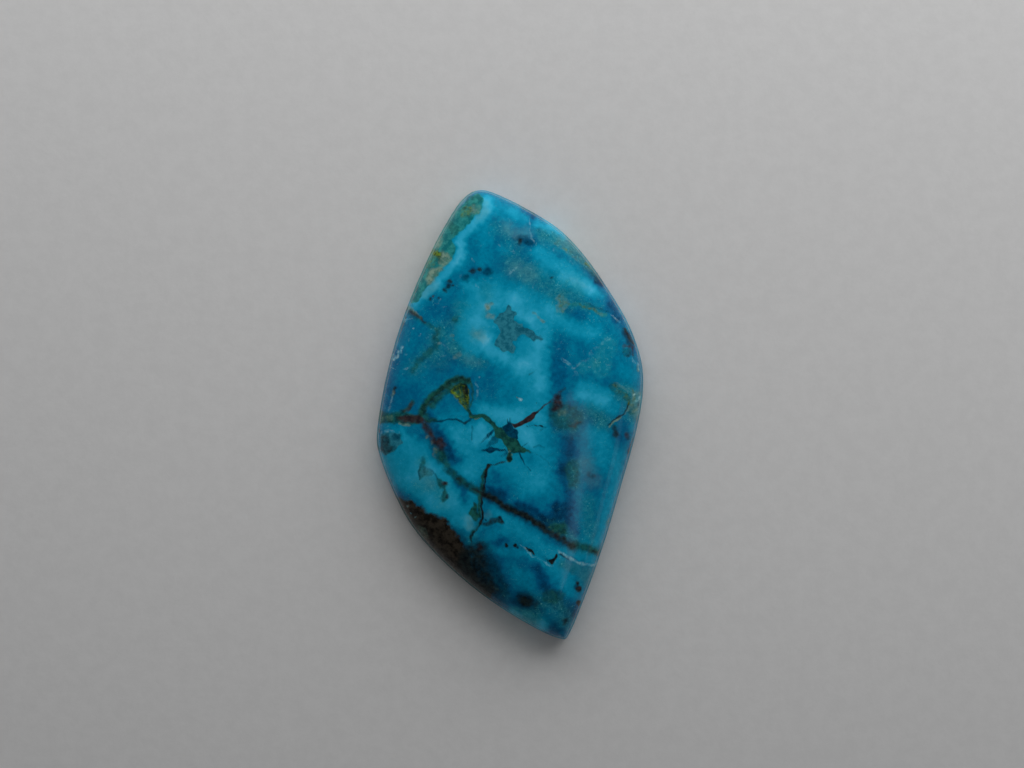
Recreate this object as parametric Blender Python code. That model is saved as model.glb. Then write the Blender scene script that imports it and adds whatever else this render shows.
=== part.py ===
"""A polished freeform cabochon of chrysocolla, lying on its flat back.

The stone is one solid: a flat ground back with a small bevel, a low wall that leans inward, a
rounded shoulder and a shallow dome. Its outline is a leaf cut by hand, with a blunt crown at one
end, a pointed tip at the other and a soft corner on each side.

Frame: metres, +Z up. The origin is on the back, in the middle of the stone's box. The long side
runs along Y, with the crown at +Y and the tip at -Y.
"""

import math

import bmesh
import bpy
import numpy as np

MM = 0.001
NODE_NAME = "chrysocolla_cabochon"

# Driving dimensions in millimetres. Heights are above the flat back.
THICKNESS = 5.2
BEVEL_WIDTH = 0.5
BEVEL_HEIGHT = 0.4
WALL_HEIGHT = 1.9
WALL_LEAN = 0.25

# The dome is a superellipse over half the stone's width. Its rings follow the cut edge up to
# EVEN_WIDTH inside it. A ring's corners soften over its inset times CORNER_SOFTNESS.
DOME_WIDTH = 13.1
DOME_POWER = 2.2
EVEN_WIDTH = 6.0
CORNER_SOFTNESS = 1.0

# The cut edge seen from above, in millimetres, clockwise from the tip.
TIP = [(5.85, -22.1), (5.5, -22.5), (5.1, -22.45), (3.9, -22.05)]
LOWER_LEFT_EDGE = [(0.3, -20.1), (-3.6, -17.4), (-7.4, -14.0), (-10.0, -10.9), (-11.9, -7.2)]
LEFT_CORNER = [(-13.1, -3.9), (-13.35, -2.5)]
UPPER_LEFT_EDGE = [(-12.9, 1.3), (-11.8, 6.2), (-10.3, 10.8), (-8.15, 15.8), (-6.6, 18.8), (-4.9, 21.4)]
CROWN = [(-3.8, 22.3), (-2.7, 22.5), (-1.6, 22.2)]
UPPER_RIGHT_EDGE = [(1.9, 20.5), (5.0, 18.5), (7.4, 16.0), (10.0, 12.3), (12.0, 8.8)]
RIGHT_CORNER = [(13.2, 5.1), (13.3, 2.2)]
LOWER_RIGHT_EDGE = [(12.6, -1.8), (11.1, -7.2), (9.4, -12.9), (7.55, -18.1)]
EDGE_POINTS = (
    TIP + LOWER_LEFT_EDGE + LEFT_CORNER + UPPER_LEFT_EDGE
    + CROWN + UPPER_RIGHT_EDGE + RIGHT_CORNER + LOWER_RIGHT_EDGE
)

# How finely the solid is faceted. BEND_WEIGHT is the length of straight edge, in millimetres, that
# gets as many points as a bend of one radian.
SIDES = 112
DOME_RINGS = 12
CURVE_STEPS = 16
BEND_WEIGHT = 7.0
INSET_ROUNDS = 60
SHARP_ANGLE = math.radians(40)

# Polished blue stone.
STONE_COLOUR = (0.012, 0.19, 0.33, 1.0)
STONE_ROUGHNESS = 0.16
STONE_IOR = 1.5


def clear_scene():
    """Remove every object of the open scene."""
    for obj in list(bpy.data.objects):
        bpy.data.objects.remove(obj)


def curve_span(before, start, end, after, steps):
    """Return points from start up to end on the centripetal Catmull-Rom curve of four points."""
    knots = [0.0]
    chain = (before, start, end, after)
    for first, second in zip(chain, chain[1:]):
        knots.append(knots[-1] + math.sqrt(np.linalg.norm(second - first)))
    k0, k1, k2, k3 = knots
    points = []
    for knot in np.linspace(k1, k2, steps, endpoint=False):
        a1 = (before * (k1 - knot) + start * (knot - k0)) / (k1 - k0)
        a2 = (start * (k2 - knot) + end * (knot - k1)) / (k2 - k1)
        a3 = (end * (k3 - knot) + after * (knot - k2)) / (k3 - k2)
        b1 = (a1 * (k2 - knot) + a2 * (knot - k0)) / (k2 - k0)
        b2 = (a2 * (k3 - knot) + a3 * (knot - k1)) / (k3 - k1)
        points.append((b1 * (k2 - knot) + b2 * (knot - k1)) / (k2 - k1))
    return points


def smooth_edge():
    """Return the cut edge as SIDES points centred on the origin, closer together where it bends."""
    knots = [np.array(point) for point in EDGE_POINTS]
    count = len(knots)
    fine = []
    for i in range(count):
        around = (knots[i - 1], knots[i], knots[(i + 1) % count], knots[(i + 2) % count])
        fine += curve_span(*around, CURVE_STEPS)
    loop = np.array(fine + fine[:1])
    steps = np.diff(loop, axis=0)
    headings = np.arctan2(steps[:, 1], steps[:, 0])
    bends = np.abs((np.diff(headings, append=headings[0]) + math.pi) % (2 * math.pi) - math.pi)
    progress = np.cumsum(np.linalg.norm(steps, axis=1) + BEND_WEIGHT * bends)
    progress = np.concatenate([[0.0], progress])
    stops = np.linspace(0.0, progress[-1], SIDES, endpoint=False)
    edge = np.column_stack([np.interp(stops, progress, loop[:, axis]) for axis in (0, 1)])
    return edge - (edge.min(axis=0) + edge.max(axis=0)) / 2


def depth_inside(points, edge):
    """Return how far each point lies from the nearest side of the edge."""
    sides = np.roll(edge, -1, axis=0) - edge
    offsets = points[:, None, :] - edge[None, :, :]
    along = (offsets * sides).sum(axis=2) / (sides * sides).sum(axis=1)
    nearest = offsets - np.clip(along, 0.0, 1.0)[:, :, None] * sides
    return np.linalg.norm(nearest, axis=2).min(axis=1)


def soften_corners(ring, spread):
    """Return the ring with each point averaged over a stretch of it, spread millimetres each way."""
    steps = np.linalg.norm(np.roll(ring, -1, axis=0) - ring, axis=1)
    travelled = np.cumsum(steps) - steps
    apart = np.abs(travelled[:, None] - travelled[None, :])
    apart = np.minimum(apart, steps.sum() - apart) / spread
    share = steps + np.roll(steps, 1)
    weights = np.where(apart < 1.0, (1.0 + np.cos(math.pi * apart)) * share, 0.0)
    return weights @ ring / weights.sum(axis=1, keepdims=True)


def even_ring(edge, inset):
    """Return a ring that keeps inset millimetres inside the cut edge.

    Each point of the edge moves towards the centre until it is deep enough. The corners then
    soften over a stretch that grows with the inset, as they do on a polished stone.
    """
    reach = np.linalg.norm(edge, axis=1)
    inward = -edge / reach[:, None]
    lengths = np.zeros(len(edge))
    for _ in range(INSET_ROUNDS):
        lengths += inset - depth_inside(edge + inward * lengths[:, None], edge)
        lengths = np.clip(lengths, 0.0, reach)
    return soften_corners(edge + inward * lengths[:, None], inset * CORNER_SOFTNESS)


def dome_height(rise):
    """Return the dome's height where rise runs from 0 at the wall to 1 at the summit."""
    swell = (1.0 - (1.0 - rise) ** DOME_POWER) ** (1.0 / DOME_POWER)
    return WALL_HEIGHT + (THICKNESS - WALL_HEIGHT) * swell


def dome_ring(edge, rise):
    """Return the dome's ring at this rise.

    Near the wall a ring keeps an even distance from the cut edge, and past EVEN_WIDTH it shrinks
    evenly towards the centre.
    """
    inset = WALL_LEAN + rise * DOME_WIDTH
    if inset <= EVEN_WIDTH:
        return even_ring(edge, inset)
    last_even_rise = (EVEN_WIDTH - WALL_LEAN) / DOME_WIDTH
    return even_ring(edge, EVEN_WIDTH) * (1.0 - rise) / (1.0 - last_even_rise)


def stone_levels(edge):
    """Return (ring, height) pairs from the flat back up to just under the summit."""
    levels = [(even_ring(edge, BEVEL_WIDTH), 0.0), (edge, BEVEL_HEIGHT)]
    for step in range(DOME_RINGS):
        rise = (step / DOME_RINGS) ** 2
        levels.append((dome_ring(edge, rise), dome_height(rise)))
    return levels


def stone_material():
    """Return the polished blue material of the stone."""
    material = bpy.data.materials.new("polished_chrysocolla")
    material.use_nodes = True
    shader = material.node_tree.nodes["Principled BSDF"]
    shader.inputs["Base Color"].default_value = STONE_COLOUR
    shader.inputs["Roughness"].default_value = STONE_ROUGHNESS
    shader.inputs["Metallic"].default_value = 0.0
    shader.inputs["IOR"].default_value = STONE_IOR
    return material


def build_stone():
    """Model the stone as one closed solid: back, bevel, wall and dome."""
    mesh = bpy.data.meshes.new(NODE_NAME)
    shape = bmesh.new()
    loops = []
    for ring, height in stone_levels(smooth_edge()):
        loops.append([shape.verts.new((x * MM, y * MM, height * MM)) for x, y in ring])
    shape.faces.new(loops[0])
    for lower, upper in zip(loops, loops[1:]):
        for i in range(SIDES):
            after = (i + 1) % SIDES
            shape.faces.new((lower[i], upper[i], upper[after], lower[after]))
    summit = shape.verts.new((0.0, 0.0, THICKNESS * MM))
    for i in range(SIDES):
        shape.faces.new((loops[-1][i], summit, loops[-1][(i + 1) % SIDES]))
    bmesh.ops.recalc_face_normals(shape, faces=shape.faces)
    shape.to_mesh(mesh)
    shape.free()

    mesh.shade_smooth()
    mesh.set_sharp_from_angle(angle=SHARP_ANGLE)
    mesh.materials.append(stone_material())
    stone = bpy.data.objects.new(NODE_NAME, mesh)
    bpy.context.collection.objects.link(stone)
    return stone


def main():
    """Clear the scene and build the stone."""
    clear_scene()
    build_stone()


if __name__ == "__main__":
    main()
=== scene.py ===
"""Looks of a polished freeform cabochon of chrysocolla, lying on its flat back on pale paper.

The stone is one piece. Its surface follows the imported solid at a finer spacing, with the small pits
that the solid leaves out. Its markings are drawn as named veins, patches, spots and clouds, in
millimetres on the stone seen from above. Each kind of mineral is kept on the mesh as the distance
from its edge, and the shader turns those distances into ragged, organic borders.

The markings run through the stone: on the wall and the back they show where they would come out.
"""

import logging
import math
from dataclasses import dataclass, field
from enum import Enum
from typing import Any

import bpy
import numpy as np
from mathutils import Matrix, Vector


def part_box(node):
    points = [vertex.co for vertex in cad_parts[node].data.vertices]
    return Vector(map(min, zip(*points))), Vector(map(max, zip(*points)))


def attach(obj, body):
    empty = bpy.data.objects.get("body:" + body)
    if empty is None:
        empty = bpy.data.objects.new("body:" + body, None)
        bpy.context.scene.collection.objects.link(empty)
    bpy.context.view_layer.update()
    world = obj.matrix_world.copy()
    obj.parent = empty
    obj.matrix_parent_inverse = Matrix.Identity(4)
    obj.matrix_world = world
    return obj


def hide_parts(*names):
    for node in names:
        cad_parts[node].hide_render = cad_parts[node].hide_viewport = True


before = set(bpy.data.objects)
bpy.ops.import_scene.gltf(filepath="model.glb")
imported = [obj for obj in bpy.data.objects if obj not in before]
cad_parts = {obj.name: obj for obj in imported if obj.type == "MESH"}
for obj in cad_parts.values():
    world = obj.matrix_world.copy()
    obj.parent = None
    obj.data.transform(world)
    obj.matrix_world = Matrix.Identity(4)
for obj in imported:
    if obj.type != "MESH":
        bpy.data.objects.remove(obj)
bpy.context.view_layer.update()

MM = 0.001
NODE_NAME = "chrysocolla_cabochon"
SLOT_NAME = "polished_chrysocolla"

Point = tuple[float, float]
Points = list[Point]
Colour = tuple[float, float, float, float]
LOG = logging.getLogger("chrysocolla")

# How bright a white surface lying on the floor looks. Colours below are written as they should
# look in this light, and are divided by it.
LIGHT_LEVEL = 0.49

# Half the width of a marking's edge when it is drawn crisp, in millimetres.
CRISP = 0.05
# The distances kept on the mesh stop growing here.
FAR = 1.0
# A length too small to matter, in millimetres.
TINY = 1e-6
# How many short sides each span of a vein, a patch's border and a cloud's route gets.
VEIN_STEPS = 5
BORDER_STEPS = 3
CLOUD_STEPS = 4
# How far from its points a vein or a patch, and a spot, is worked out at most, in millimetres.
EDGE_LIMIT = 2.5
SPOT_LIMIT = 3.0
# A cloud is worked out as far as this many times its reach.
CLOUD_LIMIT = 2.4
# The waves that stir the markings: turns across and along in radians per millimetre, and a shift.
WAVER_WAVES = [
    (1.9, 3.1, 0.4), (-3.3, 1.7, 1.9), (5.3, 2.6, 3.1), (-2.8, 5.9, 4.4), (7.9, -4.1, 0.9), (4.6, 8.3, 2.7),
]


def looks(red: float, green: float, blue: float) -> Colour:
    """Return the base colour that looks like these display values in the studio's light.

    Args:
        red: Display value from 0 to 255.
        green: Display value from 0 to 255.
        blue: Display value from 0 to 255.

    Returns:
        The linear base colour.
    """
    linear = []
    for value in (red, green, blue):
        share = value / 255
        plain = share / 12.92 if share <= 0.04045 else ((share + 0.055) / 1.055) ** 2.4
        linear.append(min(plain / LIGHT_LEVEL, 1.0))
    return (*linear, 1.0)


# ---- Plane geometry ----


def smooth_line(points: Points, steps: int, closed: bool = False) -> np.ndarray:
    """Return a smooth line through the points, a centripetal Catmull-Rom curve.

    Args:
        points: The points that the line passes through.
        steps: How many short sides each span gets.
        closed: Whether the line comes back to its first point.

    Returns:
        The line's points. A closed line doesn't repeat its first point.
    """
    knots = [np.array(point, float) for point in points]
    if closed:
        chain = [knots[-1], *knots, knots[0], knots[1]]
    else:
        chain = [2 * knots[0] - knots[1], *knots, 2 * knots[-1] - knots[-2]]
    line = []
    for before, start, end, after in zip(chain, chain[1:], chain[2:], chain[3:]):
        gaps = [math.sqrt(np.linalg.norm(b - a)) for a, b in ((before, start), (start, end), (end, after))]
        k1, k2, k3 = np.cumsum(gaps)
        for knot in np.linspace(k1, k2, steps, endpoint=False):
            a1 = (before * (k1 - knot) + start * knot) / k1
            a2 = (start * (k2 - knot) + end * (knot - k1)) / (k2 - k1)
            a3 = (end * (k3 - knot) + after * (knot - k2)) / (k3 - k2)
            b1 = (a1 * (k2 - knot) + a2 * knot) / k2
            b2 = (a2 * (k3 - knot) + a3 * (knot - k1)) / (k3 - k1)
            line.append((b1 * (k2 - knot) + b2 * (knot - k1)) / (k2 - k1))
    if not closed:
        line.append(knots[-1])
    return np.array(line)


def nearest_side(places: np.ndarray, line: np.ndarray, closed: bool) -> tuple[np.ndarray, np.ndarray]:
    """Find the part of a line that is nearest to each place.

    Args:
        places: The places, one row each.
        line: The line's points, one row each.
        closed: Whether the last point joins the first.

    Returns:
        Each place's distance from the line, and how far along the line its nearest point lies,
        from 0 to 1.
    """
    ends = np.roll(line, -1, axis=0) if closed else line[1:]
    starts = line if closed else line[:-1]
    sides = ends - starts
    offsets = places[:, None, :] - starts[None, :, :]
    along = np.clip((offsets * sides).sum(axis=2) / (sides * sides).sum(axis=1), 0.0, 1.0)
    away = np.linalg.norm(offsets - along[:, :, None] * sides, axis=2)
    nearest = away.argmin(axis=1)
    rows = np.arange(len(places))
    return away[rows, nearest], (nearest + along[rows, nearest]) / len(sides)


def inside(places: np.ndarray, loop: np.ndarray) -> np.ndarray:
    """Return whether each place lies inside the closed loop."""
    x, y = places[:, :1], places[:, 1:]
    ax, ay = loop[:, 0], loop[:, 1]
    bx, by = np.roll(ax, -1), np.roll(ay, -1)
    rise = np.where(by == ay, 1e-9, by - ay)
    crossed = ((ay > y) != (by > y)) & (x < (bx - ax) * (y - ay) / rise + ax)
    return crossed.sum(axis=1) % 2 == 1


# ---- Markings ----


class Mineral(Enum):
    """The minerals that mark the blue stone with an edge of their own, from the lowest layer up."""

    RIND = "rind"
    PLUME = "plume"
    NAVY = "navy"
    MATRIX = "matrix"
    MALACHITE = "malachite"
    OCHRE = "ochre"
    OXIDE = "oxide"
    IRON = "iron"
    LIME = "lime"
    PALE = "pale"


class Haze(Enum):
    """The soft changes in the blue stone, which have no edge."""

    TONE = "tone"
    GREEN = "green_haze"
    SAND = "sand_haze"


@dataclass(frozen=True)
class Vein:
    """A line of one mineral. Its half-width runs evenly from width to end_width."""

    mineral: Mineral
    route: Points
    width: float
    end_width: float = -1.0
    blur: float = CRISP
    strength: float = 1.0

    def box(self) -> np.ndarray:
        """Return the lowest and highest corner that the vein can reach."""
        reach = max(self.width, self.end_width) + FAR * self.blur / CRISP
        return spread_box(self.route, min(reach, EDGE_LIMIT))

    def depth(self, places: np.ndarray) -> np.ndarray:
        """Return each place's distance from the vein's edge, negative inside it."""
        away, along = nearest_side(places, smooth_line(self.route, VEIN_STEPS), closed=False)
        end = self.width if self.end_width < 0 else self.end_width
        return away - (self.width + (end - self.width) * along)


@dataclass(frozen=True)
class Patch:
    """An area of one mineral with a drawn border."""

    mineral: Mineral
    border: Points
    blur: float = CRISP
    strength: float = 1.0

    def box(self) -> np.ndarray:
        """Return the lowest and highest corner that the patch can reach."""
        return spread_box(self.border, min(FAR * self.blur / CRISP, EDGE_LIMIT))

    def depth(self, places: np.ndarray) -> np.ndarray:
        """Return each place's distance from the patch's border, negative inside it."""
        loop = smooth_line(self.border, BORDER_STEPS, closed=True)
        away = nearest_side(places, loop, closed=True)[0]
        return np.where(inside(places, loop), -away, away)


@dataclass(frozen=True)
class Spot:
    """A round or oval fleck of one mineral. Its long half-width is radius times stretch, turned."""

    mineral: Mineral
    centre: Point
    radius: float
    stretch: float = 1.0
    turn: float = 0.0
    blur: float = CRISP
    strength: float = 1.0

    def box(self) -> np.ndarray:
        """Return the lowest and highest corner that the spot can reach."""
        reach = self.radius * self.stretch + FAR * self.blur / CRISP
        return spread_box([self.centre], min(reach, SPOT_LIMIT))

    def depth(self, places: np.ndarray) -> np.ndarray:
        """Return each place's rough distance from the spot's edge, negative inside it."""
        turn = math.radians(self.turn)
        offset = places - np.array(self.centre)
        along = (offset[:, 0] * math.cos(turn) + offset[:, 1] * math.sin(turn)) / self.stretch
        across = offset[:, 1] * math.cos(turn) - offset[:, 0] * math.sin(turn)
        return np.hypot(along, across) - self.radius


@dataclass(frozen=True)
class Cloud:
    """A soft change along a route, which fades over its reach. A firm one has a clearer edge."""

    haze: Haze
    route: Points
    reach: float
    amount: float
    firm: float = 2.6

    def box(self) -> np.ndarray:
        """Return the lowest and highest corner where the cloud shows."""
        return spread_box(self.route, CLOUD_LIMIT * self.reach)

    def change(self, places: np.ndarray) -> np.ndarray:
        """Return how much the cloud adds at each place."""
        if len(self.route) == 1:
            away = np.linalg.norm(places - np.array(self.route[0]), axis=1)
        else:
            away = nearest_side(places, smooth_line(self.route, CLOUD_STEPS), closed=False)[0]
        return self.amount * np.exp(-((away / self.reach) ** self.firm))


Mark = Vein | Patch | Spot | Cloud


def spread_box(points: Points, margin: float) -> np.ndarray:
    """Return the box of the points, widened by the margin on every side."""
    corners = np.array(points, float)
    return np.array([corners.min(axis=0) - margin, corners.max(axis=0) + margin])


def tone(route: Points, reach: float, amount: float, firm: float = 2.6) -> Cloud:
    """Return a cloud that lightens the blue, or darkens it where its amount is negative."""
    return Cloud(Haze.TONE, route, reach, amount, firm)


def green(route: Points, reach: float, amount: float, firm: float = 2.6) -> Cloud:
    """Return a cloud that turns the blue green."""
    return Cloud(Haze.GREEN, route, reach, amount, firm)


def sand(route: Points, reach: float, amount: float, firm: float = 2.6) -> Cloud:
    """Return a cloud that turns the blue sandy."""
    return Cloud(Haze.SAND, route, reach, amount, firm)


def specks(mineral: Mineral, radius: float, places: Points) -> list[Mark]:
    """Return one small spot of the mineral at each place."""
    return [Spot(mineral, place, radius) for place in places]


def faint_specks(places: Points) -> list[Mark]:
    """Return a small pale fleck at each place, turned a little more than the last."""
    return [
        Spot(Mineral.PALE, place, 0.045, 2.4, 40.0 * turn, 0.1, 0.1) for turn, place in enumerate(places)
    ]


@dataclass
class MarkingSheet:
    """Every marking of the stone, and the fields that they make.

    The sheet is stirred a little, so that drawn lines get a natural waver.
    """

    marks: list[Mark] = field(default_factory=list)
    waver: float = 0.03
    cloud_waver: float = 0.06

    def stirred(self, places: np.ndarray, waver: float) -> np.ndarray:
        """Return the places moved by waves of a few lengths, each about one waver high."""
        moved = places.copy()
        for turns, (across, along, shift) in enumerate(WAVER_WAVES, start=1):
            phase = places[:, 0] * across + places[:, 1] * along + shift
            moved[:, turns % 2] += waver * np.sin(phase)
            moved[:, 1 - turns % 2] += 0.5 * waver * np.cos(1.3 * phase + shift)
        return moved

    def fields(self, places: np.ndarray) -> dict[str, np.ndarray]:
        """Work out what each mineral and haze is at each place.

        Args:
            places: The places on the sheet, in millimetres, one row each.

        Returns:
            One row of numbers for each mineral and haze, by its name on the mesh. A mineral's
            numbers are distances from its edge, negative inside it, where an edge with a blur
            counts as farther off.
        """
        curdled = self.stirred(places, self.cloud_waver)
        places = self.stirred(places, self.waver)
        made = {mineral.value: np.full(len(places), FAR) for mineral in Mineral}
        made |= {haze.value: np.zeros(len(places)) for haze in Haze}
        for mark in self.marks:
            low, high = mark.box()
            near = np.flatnonzero(((places > low) & (places < high)).all(axis=1))
            if len(near) == 0:
                continue
            if isinstance(mark, Cloud):
                made[mark.haze.value][near] += mark.change(curdled[near])
                continue
            depth = mark.depth(places[near]) * CRISP / mark.blur
            depth = np.maximum(depth, CRISP * (1 - 2 * mark.strength) if mark.strength < 1 else -FAR)
            row = made[mark.mineral.value]
            row[near] = np.minimum(row[near], depth)
        return made


def crown_marks() -> list[Mark]:
    """Return the green rind at the crown, its pale rim and the specks below it."""
    return [
        # The rind, a band of green, tan and teal along the upper left edge.
        Patch(Mineral.RIND, [
            (-3.3, 22.1), (-2.75, 21.9), (-2.6, 21.5), (-2.8, 21.1), (-2.8, 20.5), (-3.2, 20.1),
            (-3.7, 19.7), (-4.0, 19.2), (-4.4, 18.9), (-4.8, 18.4), (-5.3, 18.05), (-5.8, 17.5),
            (-5.55, 16.9), (-5.5, 16.35), (-5.75, 15.8), (-6.05, 15.25), (-6.6, 14.85), (-7.0, 14.3),
            (-7.4, 13.75), (-7.9, 13.2), (-8.3, 12.7), (-8.7, 12.3), (-9.2, 11.3), (-10.6, 11.2),
            (-10.4, 13.4), (-9.0, 16.6), (-7.6, 18.9), (-6.0, 20.2), (-5.2, 20.55), (-4.7, 21.05),
            (-4.05, 21.6),
        ], 0.09),
        Patch(Mineral.MALACHITE, [
            (-4.2, 21.7), (-3.5, 21.9), (-2.95, 21.75), (-3.1, 21.3), (-3.9, 21.0), (-4.3, 21.2),
        ], 0.2, 0.38),
        Patch(Mineral.MALACHITE, [
            (-6.2, 19.4), (-5.6, 18.9), (-5.1, 18.5), (-5.4, 18.1), (-5.9, 18.4), (-6.3, 18.9),
        ], 0.3, 0.45),
        Patch(Mineral.LIME, [
            (-4.6, 20.6), (-4.0, 20.75), (-3.95, 20.35), (-4.3, 19.85), (-4.75, 19.9),
        ], 0.25, 0.5),
        Patch(Mineral.OCHRE, [
            (-3.9, 20.8), (-3.3, 20.95), (-3.0, 20.5), (-3.4, 20.15), (-3.9, 20.2),
        ], 0.25, 0.45),
        Patch(Mineral.OCHRE, [
            (-7.7, 18.0), (-7.1, 18.1), (-6.85, 17.3), (-7.3, 16.7), (-7.9, 16.9),
        ], 0.25, 0.65),
        Spot(Mineral.LIME, (-7.35, 16.1), 0.34, 1.5, -30, 0.16, 0.9),
        Spot(Mineral.MALACHITE, (-7.0, 15.75), 0.36, 1.3, 90, 0.14, 0.95),
        Patch(Mineral.OCHRE, [
            (-6.9, 16.3), (-6.3, 16.2), (-5.95, 15.6), (-6.5, 15.0), (-7.1, 14.7), (-7.7, 14.6),
            (-8.3, 14.0), (-8.2, 13.1), (-7.6, 13.5), (-7.2, 14.2), (-6.7, 14.6), (-7.0, 15.2),
        ], 0.25, 0.8),
        Spot(Mineral.LIME, (-7.9, 15.2), 0.3, 1.6, 50, 0.25, 0.4),
        Spot(Mineral.MALACHITE, (-8.9, 14.4), 0.3, 1.8, 60, 0.25, 0.5),
        Spot(Mineral.MALACHITE, (-9.7, 12.5), 0.25, 2.0, 65, 0.25, 0.45),
        sand([(-7.5, 13.0), (-8.6, 12.1)], 0.4, 0.4),
        sand([(-2.4, 21.2), (-2.5, 20.4), (-3.1, 19.7)], 0.4, 0.4),
        sand([(-4.2, 22.1), (-5.8, 20.3)], 0.4, 0.65),
        # The specks under the rind.
        Spot(Mineral.OXIDE, (-3.75, 14.4), 0.2, 1.6, 20, 0.16, 0.75),
        Spot(Mineral.OXIDE, (-3.05, 14.55), 0.18, 1.3, 0, 0.12, 0.85),
        Spot(Mineral.NAVY, (-2.2, 14.3), 0.3, 1.5, -10, 0.25, 0.7),
        Spot(Mineral.NAVY, (-4.4, 13.7), 0.28, 1.3, 0, 0.25, 0.7),
        Spot(Mineral.OXIDE, (-6.05, 13.3), 0.17, 1.2, 0, 0.1, 0.75),
        Spot(Mineral.OXIDE, (-5.7, 12.9), 0.14, 1.0, 0, 0.1, 0.9),
        Spot(Mineral.OXIDE, (-6.15, 12.8), 0.18, 1.3, 30, 0.14, 0.7),
        Spot(Mineral.OXIDE, (-6.55, 12.5), 0.2, 1.2, 0, 0.16, 0.85),
        Spot(Mineral.OXIDE, (-8.0, 11.6), 0.15, 1.2, 0, 0.12, 0.85),
        Spot(Mineral.IRON, (-7.65, 11.8), 0.13, 1.0, 0, 0.1, 0.85),
        Spot(Mineral.OXIDE, (-7.15, 11.7), 0.12, 1.0, 0, 0.1, 0.7),
        *faint_specks([
            (-7.4, 11.1), (-7.1, 11.4), (-6.3, 11.25), (-3.7, 15.4), (-2.55, 13.5), (-1.55, 20.8),
            (-5.0, 13.9), (-4.6, 12.4), (-3.3, 12.9), (-6.6, 10.8), (-0.2, 14.6), (-2.1, 18.2), (-1.0, 16.9),
            (-4.4, 16.0), (-2.9, 16.9), (-5.6, 11.9),
        ]),
        # The pale rim of the rind.
        tone([
            (-2.3, 21.4), (-2.35, 20.6), (-2.9, 19.75), (-3.7, 19.0), (-4.6, 18.1), (-5.1, 17.5),
            (-4.95, 16.9), (-4.95, 16.2), (-5.3, 15.4), (-6.1, 14.6), (-6.9, 13.7), (-7.7, 12.9),
            (-8.5, 12.2), (-9.5, 11.2),
        ], 0.62, 0.38),
        tone([(-4.9, 17.2), (-4.8, 16.3), (-5.2, 15.4)], 0.7, 0.08),
        tone([(-2.4, 18.2), (-2.6, 14.8)], 0.9, 0.1),
        tone([(-1.0, 15.4)], 0.8, -0.06),
        tone([(3.4, 14.4)], 0.8, 0.2),
        tone([(-1.6, 11.6)], 0.7, 0.08),
        tone([(2.2, 10.0), (2.2, 9.0)], 0.6, 0.1),
        tone([(-3.5, 14.4), (-2.4, 14.4)], 0.5, -0.16),
        tone([(-6.2, 12.9)], 0.6, -0.06),
        tone([(-4.4, 13.1), (-3.4, 13.0)], 0.6, 0.12),
        tone([(-1.4, 20.8), (0.4, 20.2)], 0.7, 0.12),
        green([(-1.2, 18.8), (-0.3, 17.9), (0.6, 17.0)], 0.9, 0.5),
        sand([(-0.3, 18.7), (0.6, 18.1), (1.7, 18.2)], 0.6, 0.3),
        tone([(-0.4, 16.5)], 0.7, 0.1),
        tone([(-1.0, 17.7)], 0.7, -0.12),
    ]


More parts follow.
